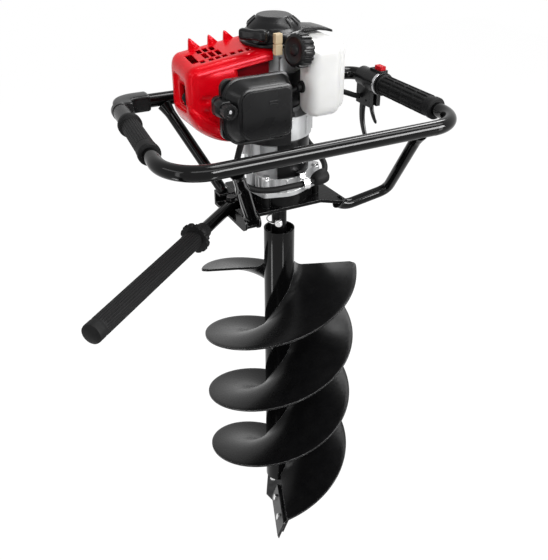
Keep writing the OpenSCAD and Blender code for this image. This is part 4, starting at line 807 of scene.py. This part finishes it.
# Fuel tank
# Blow-moulded white polyethylene in two lobes that flow into each other. The ribbed cap screws on the neck,
# and a rubber grommet on a boss seals the hose that runs to the carburettor.
TANK_FRONT = ((0.0145, -0.085, 0.980), (0.076, -0.034, 1.102))
TANK_REAR = ((0.046, -0.062, 0.979), (0.098, 0.078, 1.096))
TANK_ROUND = 0.017
TANK_SPLIT = 80
TANK_FLOW = (("REMESH", {"mode": "VOXEL", "voxel_size": 0.0016}),
             ("SMOOTH", {"factor": 0.5, "iterations": 24}))
NECK_R = 0.0179
NECK_OUT = np.array([-0.968628, -0.205888, 0.139173])
NECK_FAR = np.array([-0.022, -0.01, 0, 0.012])
CAP_PLACE = np.array([0.011, -0.066, 1.091])
CAP_SIDES = 216
CAP_RIBS = 18
CAP_RIB_EDGE = (-0.5, 0.1)
CAP_RIB_TALL = 0.0030
CAP_RIB_RADII = (0.0245, 0.0262)
CAP = ((0, 0.0185), (0.0005, 0.0255), (0.002, 0.0268), (0.010, 0.0270), (0.0185, 0.0268), (0.0205, 0.0262),
       (0.0222, 0.0246), (0.0230, 0.0228), (0.0236, 0.0205), (0.0230, 0.0192), (0.0222, 0.0180),
       (0.0222, 0.0088), (0.0240, 0.0080), (0.0246, 0.0070), (0.0246, 0.0030))
GROMMET_PLACE = np.array([0.0165, -0.054, 1.029])
GROMMET = ((0, 0.0095), (0.001, 0.0100), (0.0045, 0.0100), (0.0055, 0.0090), (0.0056, 0.0062),
           (0.0115, 0.0058), (0.0125, 0.0040))
HOSE_ROUTE = ((0.0114, -0.054, 1.029), (0.004, -0.053, 1.027), (-0.014, -0.050, 1.019),
              (-0.032, -0.047, 1.009), (-0.050, -0.046, 0.999), (-0.0727, -0.047, 0.993))
HOSE_R = 0.003


def block(low, high, radius, corner=6):
    """Box with round edges: a rounded rectangle carried up, drawn in along a quarter circle at both ends."""
    low, high = np.array(low), np.array(high)
    half = (high - low) / 2
    turn = np.linspace(-math.pi / 2, 0, corner + 1)
    turn = np.concatenate([turn, -turn[::-1]])
    across, along, out_x, out_y = rounded_loop(np.array([-1.0, 1.0]), np.array([-1.0, 1.0]), corner)
    reach = radius * np.cos(turn)[:, None]
    end = np.where(np.arange(len(turn)) <= corner, -1, 1) * (half[2] - radius)
    rings = points(across * (half[0] - radius) + reach * out_x, along * (half[1] - radius) + reach * out_y,
                   (end + radius * np.sin(turn))[:, None])
    return (low + high) / 2 + capped(rings, rings[[0, -1], 0] * UP)


def curve(route, steps):
    """Smooth path through listed points: a cubic between each two, with the slope of its neighbours."""
    p = np.asarray(route, float)
    p = np.concatenate([p[:1], p, p[-1:]])
    t = (np.arange(steps) / steps)[None, :, None]
    a, b, c, d = (p[i:len(p) - 3 + i, None] for i in range(4))
    part = 2 * b + (c - a) * t + (2 * a - 5 * b + 4 * c - d) * t ** 2 + (3 * b - a - 3 * c + d) * t ** 3
    return np.concatenate([0.5 * part.reshape(-1, 3), p[-1:]])


def ribs(count, edge, sides):
    """Ribs round a turned piece: 1 on each and 0 between, as the cosine of so many turns passes an edge."""
    return ramp(np.cos(count * full_turn(sides)), *edge)


finish("tank_white", (0.88, 0.88, 0.87), 0.32, drift=0.06, grain=0.02, grain_size=0.004, wave=0.3,
       tint=(0.85, 0.85, 0.835), **{"Subsurface Weight": 0.15, "Subsurface Radius": (0.006, 0.006, 0.005)})
finish("cream_plastic", (0.74, 0.58, 0.36), 0.42, grain=0.03, tint=(0.68, 0.52, 0.31))
dress("fuel_grommet", "tank_bracket", "wire_connector")
neck = sweep(CAP_PLACE + NECK_FAR[:, None] * NECK_OUT, circle(NECK_R))
tank = bmesh.new()
for lobe in (block(*TANK_FRONT, TANK_ROUND), block(*TANK_REAR, TANK_ROUND), neck):
    lobe_mesh = skin("tank_lobe", lobe)
    tank.from_mesh(lobe_mesh)
    bpy.data.meshes.remove(lobe_mesh)
tank_mesh = bpy.data.meshes.new("tank_shell")
tank.to_mesh(tank_mesh)
tank.free()
fit("tank_shell", tank_mesh, "frame", "tank_white", "fuel_tank", modifiers=TANK_FLOW, split=TANK_SPLIT)

cap_far, cap_r = np.array(CAP).T[..., None]
cap_grooves = (1 - ribs(CAP_RIBS, CAP_RIB_EDGE, CAP_SIDES)) * ramp(cap_r, *CAP_RIB_RADII)
cap_cup = turned(CAP_PLACE, NECK_OUT, cap_far[:, 0], cap_r - CAP_RIB_TALL * cap_grooves, CAP_SIDES)
fit("fuel_cap_cup", cap_cup, "fuel_cap", SLOT_OF["fuel_cap"], "fuel_cap")
grommet_far, grommet_r = np.array(GROMMET).T
grommet_boss = turned(GROMMET_PLACE, -TO_RIGHT, grommet_far, grommet_r, sides=48)
fit("grommet_boss", grommet_boss, "frame", "black_rubber")
hose_path = curve(HOSE_ROUTE, 6)
hose = fit("fuel_hose_line", sweep(hose_path, circle(HOSE_R, sides=14)), "frame", "black_rubber", "fuel_hose")


# Frame
# The base plate, the bent handle loop and four struts are welded steel under gloss black paint. The
# struts' heads flare where they are welded to the loop, the left front one is flattened lower down, and the
# right front one turns in below the plate and up to it.
STRUT_R = 0.010
STRUT_BEND = 0.018
STRUT_STEP = 0.003
# A flare is how much it widens the tube, then the lengths from its end where it starts and is full.
HEAD_FLARE = ((0.22, 0.022, 0.004), (0.14, 0.006, 0.001))
FOOT_FLARE = (0.2, 0.005, 0.001)
FLAT_ALONG = (0.045, 0.075)
FLAT_WIDER = 0.22
FLAT_THINNER = 0.25
STRUT_ROUTES = {
    "strut_front_right": ((0.172, -0.1715, 0.9595), (0.187, -0.073, 0.8180), (0.104, -0.0575, 0.7957),
                          (0.090, -0.058, 0.8065)),
    "strut_rear_right": ((0.1440, 0.1686, 0.9570), (0.0794, 0.0942, 0.8122)),
    "strut_rear_left": ((-0.1460, 0.1748, 0.9570), (-0.0824, 0.0669, 0.8143)),
    "strut_front_left": ((-0.1602, -0.1688, 0.9570), (-0.0837, -0.0554, 0.8143))}


def bent(corners, radius, steps=14):
    """Path along straight lines with round bends: each inner corner becomes an arc drawn as a quadratic blend
    between points at the radius from it."""
    p = np.asarray(corners, float)
    at = p[1:-1]
    back, on = p[:-2] - at, p[2:] - at
    before = (at + back / np.linalg.norm(back, axis=1, keepdims=True) * radius)[:, None]
    after = (at + on / np.linalg.norm(on, axis=1, keepdims=True) * radius)[:, None]
    t = np.linspace(0, 1, steps)[None, :, None]
    arcs = (1 - t) ** 2 * before + 2 * t * (1 - t) * at[:, None] + t ** 2 * after
    return np.concatenate([p[:1], arcs.reshape(-1, 3), p[-1:]])


def spaced(path, step):
    """The same path with points at even steps along it."""
    far = np.concatenate([[0], np.linalg.norm(np.diff(path, axis=0), axis=1).cumsum()])
    at = np.linspace(0, far[-1], max(int(far[-1] / step), 2))
    return np.stack([np.interp(at, far, path[:, k]) for k in range(3)], axis=-1)


dress("base_plate", "handle_loop")
for name, route in STRUT_ROUTES.items():
    line = spaced(bent(route, STRUT_BEND), STRUT_STEP)
    down = np.arange(len(line)) * STRUT_STEP
    head = 1 + sum(more * ramp(down, low, high) for more, low, high in HEAD_FLARE)
    foot = 1 + FOOT_FLARE[0] * ramp(down[-1] - down, *FOOT_FLARE[1:])
    flat = ramp(down, *FLAT_ALONG) * (name == "strut_front_left")
    across_and_up = np.stack([1 + FLAT_WIDER * flat, 1 - FLAT_THINNER * flat], axis=-1)
    strut = sweep(line, circle(STRUT_R), (head * foot)[:, None] * across_and_up)
    stands_for = ("struts",) if name == "strut_front_right" else ()
    fit(name, strut, "frame", "gloss_black", *stands_for)


# Elbow
# A moulded corner block joins the rear bar to the left bar: flat on top and underneath, round at the
# corner, with a narrower sleeve that runs forward to the grip.
LOOP_Z = 0.966
LEFT_REAR = np.array([-0.2322, 0.184, LOOP_Z])
LEFT_WAY = np.array([0.10453, 0.99452, 0])
REAR_WAY = np.array([0.9996, -0.02826, 0])
ELBOW_TURN = LEFT_REAR + 0.006 * REAR_WAY - 0.001 * LEFT_WAY
ELBOW_ROUTE = (ELBOW_TURN + 0.052 * REAR_WAY, ELBOW_TURN, ELBOW_TURN - 0.040 * LEFT_WAY)
ELBOW_BEND = 0.030
ELBOW_STEP = 0.002
ELBOW_SIZE = (0.0345, 0.0300, 0.0060)
ELBOW_MOUTH = 0.90
ELBOW_LEAD = 0.004
SLEEVE_R = 0.0150
SLEEVE = ((0.030, 1.08), (0.042, 1.08), (0.0425, 1), (0.090, 1), (0.1035, 1), (0.105, 0.94))

elbow_path = spaced(bent(ELBOW_ROUTE, ELBOW_BEND), ELBOW_STEP)
elbow_far = np.arange(len(elbow_path)) * ELBOW_STEP
elbow_ends = np.minimum(elbow_far, elbow_far[-1] - elbow_far)
elbow_grow = ELBOW_MOUTH + (1 - ELBOW_MOUTH) * np.sqrt(share_of(elbow_ends, 0, ELBOW_LEAD))
elbow = sweep(elbow_path, rounded(*ELBOW_SIZE), elbow_grow)
fit("elbow_block", elbow, "frame", "black_plastic", "corner_elbow")
sleeve_far, sleeve_grow = np.array(SLEEVE).T
sleeve_path = LEFT_REAR - sleeve_far[:, None] * LEFT_WAY
elbow_sleeve = sweep(sleeve_path, circle(SLEEVE_R, sides=40), sleeve_grow)
fit("elbow_sleeve", elbow_sleeve, "frame", "black_plastic")


# Hand grips
# Rubber sleeves pushed over the loop. The left one is slim, with fine lengthwise ribs between a big flange
# and a stepped collar, the right one has rows of raised blocks and a thick collar at its front end.
GRIP_SIDES = 120
LEFT_START = LEFT_REAR - 0.256 * LEFT_WAY
LEFT_RIBS = 24
LEFT_RIB_EDGE = (-0.2, 0.5)
LEFT_RIB_TALL = 0.0011
LEFT_RIB_ENDS = ((0.028, 0.031), (0.132, 0.135))
LEFT_CUTS = (0.0001, 0.0085, 0.0095, 0.0255, 0.0265, 0.136, 0.1375)
LEFT_PROFILE = ((0, 0.0140), (0.0001, 0.0168), (0.002, 0.0186), (0.0085, 0.0186), (0.0095, 0.0172),
                (0.0255, 0.0172), (0.0265, 0.0155), (0.136, 0.0152), (0.1375, 0.0192), (0.1395, 0.0207),
                (0.1475, 0.0207), (0.1498, 0.0194), (0.150, 0.0140))
RIGHT_WAY = np.array([0, 1.0, 0])
RIGHT_X = 0.263
RIGHT_START = np.array([RIGHT_X, -0.0985, LOOP_Z])
RIGHT_BLOCKS = 14
RIGHT_BLOCK_EDGE = (-0.35, 0.15)
RIGHT_BLOCK_TALL = 0.0021
RIGHT_BLOCK_RUN = 0.034
RIGHT_BLOCK_ENDS = ((0.0, 0.06), (0.87, 0.93))
RIGHT_ROWS = (0.022, 0.156)
RIGHT_CUTS = (0.0001, 0.012, 0.013, 0.1575, 0.1585)
RIGHT_PROFILE = ((0, 0.0150), (0.0001, 0.0178), (0.002, 0.0198), (0.010, 0.0198), (0.0115, 0.0178),
                 (0.018, 0.0184), (0.019, 0.0176), (0.1575, 0.0172), (0.1585, 0.0196), (0.1600, 0.0204),
                 (0.1632, 0.0200), (0.164, 0.0150))


def lengths(knots, steps, cuts):
    """Even steps from a profile's first length to its last, with its sharp steps cut in."""
    return np.unique(np.concatenate([np.linspace(knots[0][0], knots[-1][0], steps), cuts]))


def profile(far, knots):
    """Radius along a piece, read from listed pairs of length and radius."""
    place, value = np.array(knots).T
    return np.interp(far, place, value)[:, None]


def between(far, rise, fall):
    """1 along a stretch of a piece: it rises over the first pair of lengths and falls over the second."""
    return (ramp(far, *rise) * ramp(far, *fall[::-1]))[:, None]


left_far = lengths(LEFT_PROFILE, 90, LEFT_CUTS)
left_ribs = LEFT_RIB_TALL * ribs(LEFT_RIBS, LEFT_RIB_EDGE, GRIP_SIDES) * between(left_far, *LEFT_RIB_ENDS)
left_r = profile(left_far, LEFT_PROFILE) + left_ribs
left_grip = turned(LEFT_START, LEFT_WAY, left_far, left_r, GRIP_SIDES)
fit("left_grip_sleeve", left_grip, "frame", "black_rubber", "left_grip")
right_far = lengths(RIGHT_PROFILE, 150, RIGHT_CUTS)
row_share = np.mod((right_far - RIGHT_ROWS[0]) / RIGHT_BLOCK_RUN, 1)
in_rows = (right_far > RIGHT_ROWS[0]) & (right_far < RIGHT_ROWS[1])
block_rows = between(row_share, *RIGHT_BLOCK_ENDS) * in_rows[:, None]
right_blocks = RIGHT_BLOCK_TALL * ribs(RIGHT_BLOCKS, RIGHT_BLOCK_EDGE, GRIP_SIDES) * block_rows
right_r = profile(right_far, RIGHT_PROFILE) + right_blocks
right_grip = turned(RIGHT_START, RIGHT_WAY, right_far, right_r, GRIP_SIDES)
fit("right_grip_sleeve", right_grip, "frame", "black_rubber", "right_grip")


# Controls
# A moulded clamp on the right bar carries the throttle lever, its lock and the sliding stop switch. A
# bright steel band tightens it, and both levers are glass-filled plastic.
BAND_START = np.array([RIGHT_X, 0.0695, LOOP_Z])
BAND = ((0, 0.0205), (0.0004, 0.0222), (0.0012, 0.0225), (0.0058, 0.0225), (0.0066, 0.0222), (0.007, 0.0205))
LEVER_YZ = ((0.1290, 0.9330), (0.1325, 0.9150), (0.1345, 0.8950), (0.1320, 0.8740), (0.1245, 0.8560),
            (0.1170, 0.8430))
LEVER_GROW = ((0, 0.55), (0.03, 0.95), (0.2, 1.05), (0.7, 0.85), (0.94, 0.72), (1, 0.35))
LEVER_SIZE = (0.0075, 0.0150, 0.0030)
LOCK_YZ = ((0.1055, 0.9320), (0.1040, 0.9180), (0.0990, 0.9030), (0.0905, 0.8905), (0.0820, 0.8835))
LOCK_GROW = ((0, 0.6), (0.05, 1.1), (0.3, 0.95), (0.9, 0.6), (1, 0.3))
LOCK_SIZE = (0.0065, 0.0120, 0.0028)


def lever(route, size, knots):
    """Blade of a lever: a rounded rectangle swept along a smooth path in the bar's upright plane, growing by
    share of its length."""
    path = curve(points(RIGHT_X, *np.array(route).T), 8)
    return sweep(path, rounded(*size), profile(np.linspace(0, 1, len(path)), knots), ref=RIGHT_WAY)


finish("switch_red", (0.66, 0.004, 0.012), 0.28, grain=0.02, tint=(0.58, 0.003, 0.01), shine=0.3,
       **{"Specular Tint": RED_GLEAM})
dress("control_housing", "stop_switch")
band_far, band_r = np.array(BAND).T
clamp_band = turned(BAND_START, RIGHT_WAY, band_far, band_r, sides=72)
fit("clamp_band", clamp_band, "frame", "gear_steel")
throttle_blade = lever(LEVER_YZ, LEVER_SIZE, LEVER_GROW)
fit("throttle_lever_blade", throttle_blade, "throttle_lever", "black_plastic", "throttle_lever")
lock_blade = lever(LOCK_YZ, LOCK_SIZE, LOCK_GROW)
fit("lock_lever_blade", lock_blade, "lock_lever", "black_plastic", "lock_lever")


# Throttle cable
# A steel wire in a ribbed black conduit runs from the lever behind the tank, round the gear case to the
# carburettor. A rubber boot and a bright clip bolted to the case hold it at the front.
CABLE_ROUTE = ((0.247, 0.126, 0.930), (0.240, 0.130, 0.931), (0.228, 0.138, 0.935), (0.212, 0.145, 0.940),
               (0.186, 0.150, 0.944), (0.152, 0.146, 0.942), (0.120, 0.132, 0.922), (0.106, 0.106, 0.896),
               (0.098, 0.070, 0.880), (0.094, 0.026, 0.873), (0.084, -0.018, 0.866), (0.060, -0.050, 0.862),
               (0.028, -0.062, 0.860), (-0.008, -0.064, 0.860), (-0.044, -0.060, 0.859),
               (-0.074, -0.050, 0.862), (-0.094, -0.040, 0.876), (-0.101, -0.038, 0.904),
               (-0.096, -0.042, 0.936), (-0.088, -0.046, 0.962), (-0.086, -0.047, 0.9806))
CABLE_R = 0.0053
CABLE_STEP = 0.0012
CABLE_SIDE = np.array([0.31, 0.17, 1.0])
CABLE_SPLIT = 60
RIDGE_STEPS = 3
RIDGE_TALL = 0.05
BOOT_PLACE = np.array([0.036, -0.062, 0.861])
BOOT_WAY = np.array([0.96, 0.26, 0.10]) / np.linalg.norm((0.96, 0.26, 0.10))
BOOT = ((0, 0.0070), (0.0006, 0.0085), (0.004, 0.0105), (0.012, 0.0130), (0.022, 0.0135), (0.027, 0.0128),
        (0.0295, 0.0105), (0.030, 0.0080))

cable_path = spaced(curve(CABLE_ROUTE, 8), CABLE_STEP)
ridges = 1 - RIDGE_TALL * np.cos(np.arange(len(cable_path)) * 2 * math.pi / RIDGE_STEPS)
conduit = sweep(cable_path, circle(CABLE_R, sides=18), ridges, ref=CABLE_SIDE)
cable = fit("throttle_conduit", conduit, "frame", "black_rubber", "throttle_cable", split=CABLE_SPLIT)
boot_far, boot_r = np.array(BOOT).T
conduit_boot = turned(BOOT_PLACE, BOOT_WAY, boot_far, boot_r, sides=48)
fit("conduit_boot", conduit_boot, "frame", "black_rubber")
dress("cable_clip")


# Support handle
# A folded channel under the plate holds the pivot of a long side handle for the second hand. Its tube and
# hub are painted, and the ribbed rubber grip has a notched guard flange and a flat end.
ARM_PIVOT = np.array([-0.081, 0.034, 0.800])
ARM_TURN = math.radians(-140)
ARM_WAY = np.array([math.cos(ARM_TURN), math.sin(ARM_TURN), 0])
ARM_R = 0.0112
ARM_FAR = np.linspace(0.004, 0.170, 40)
HUB_R = 0.012
HUB = ((-0.010, 0.9), (-0.0094, 0.97), (-0.0086, 1), (0.0086, 1), (0.0094, 0.97), (0.010, 0.9))
ARM_NOTCHES = 12
ARM_NOTCH_EDGE = (0.2, 0.8)
ARM_NOTCH_DEEP = 0.0022
ARM_NOTCH_RADII = (0.020, 0.024)
ARM_RIBS = 24
ARM_RIB_EDGE = (-0.3, 0.3)
ARM_RIB_TALL = 0.0011
ARM_RIB_ENDS = ((0.150, 0.154), (0.425, 0.428))
ARM_CUTS = (0.1375, 0.1381, 0.1470, 0.1476, 0.4285, 0.429)
ARM_PROFILE = ((0.108, 0.0114), (0.1085, 0.0138), (0.130, 0.0158), (0.1375, 0.0162), (0.1381, 0.0250),
               (0.1400, 0.0268), (0.1452, 0.0268), (0.1470, 0.0250), (0.1476, 0.0154), (0.429, 0.0150),
               (0.4300, 0.0162), (0.4440, 0.0162), (0.4470, 0.0155), (0.4478, 0.0140), (0.448, 0.0112))

dress("handle_channel")
arm_line = ARM_PIVOT + ARM_FAR[:, None] * ARM_WAY
fit("arm_tube", sweep(arm_line, circle(ARM_R, sides=36)), "support_handle", "gloss_black", "support_handle")
hub_rise, hub_grow = np.array(HUB).T
hub_line = ARM_PIVOT + hub_rise[:, None] * UP
arm_hub = sweep(hub_line, circle(HUB_R, sides=40), hub_grow, ref=TO_RIGHT)
fit("arm_hub", arm_hub, "support_handle", "gloss_black")
arm_far = lengths(ARM_PROFILE, 160, ARM_CUTS)
arm_r = profile(arm_far, ARM_PROFILE)
notches = ribs(ARM_NOTCHES, ARM_NOTCH_EDGE, GRIP_SIDES) * ramp(arm_r, *ARM_NOTCH_RADII)
arm_ribs = ribs(ARM_RIBS, ARM_RIB_EDGE, GRIP_SIDES) * between(arm_far, *ARM_RIB_ENDS)
arm_r = arm_r - ARM_NOTCH_DEEP * notches + ARM_RIB_TALL * arm_ribs
arm_grip = turned(ARM_PIVOT, ARM_WAY, arm_far, arm_r, GRIP_SIDES)
fit("arm_grip", arm_grip, "support_handle", "black_rubber")
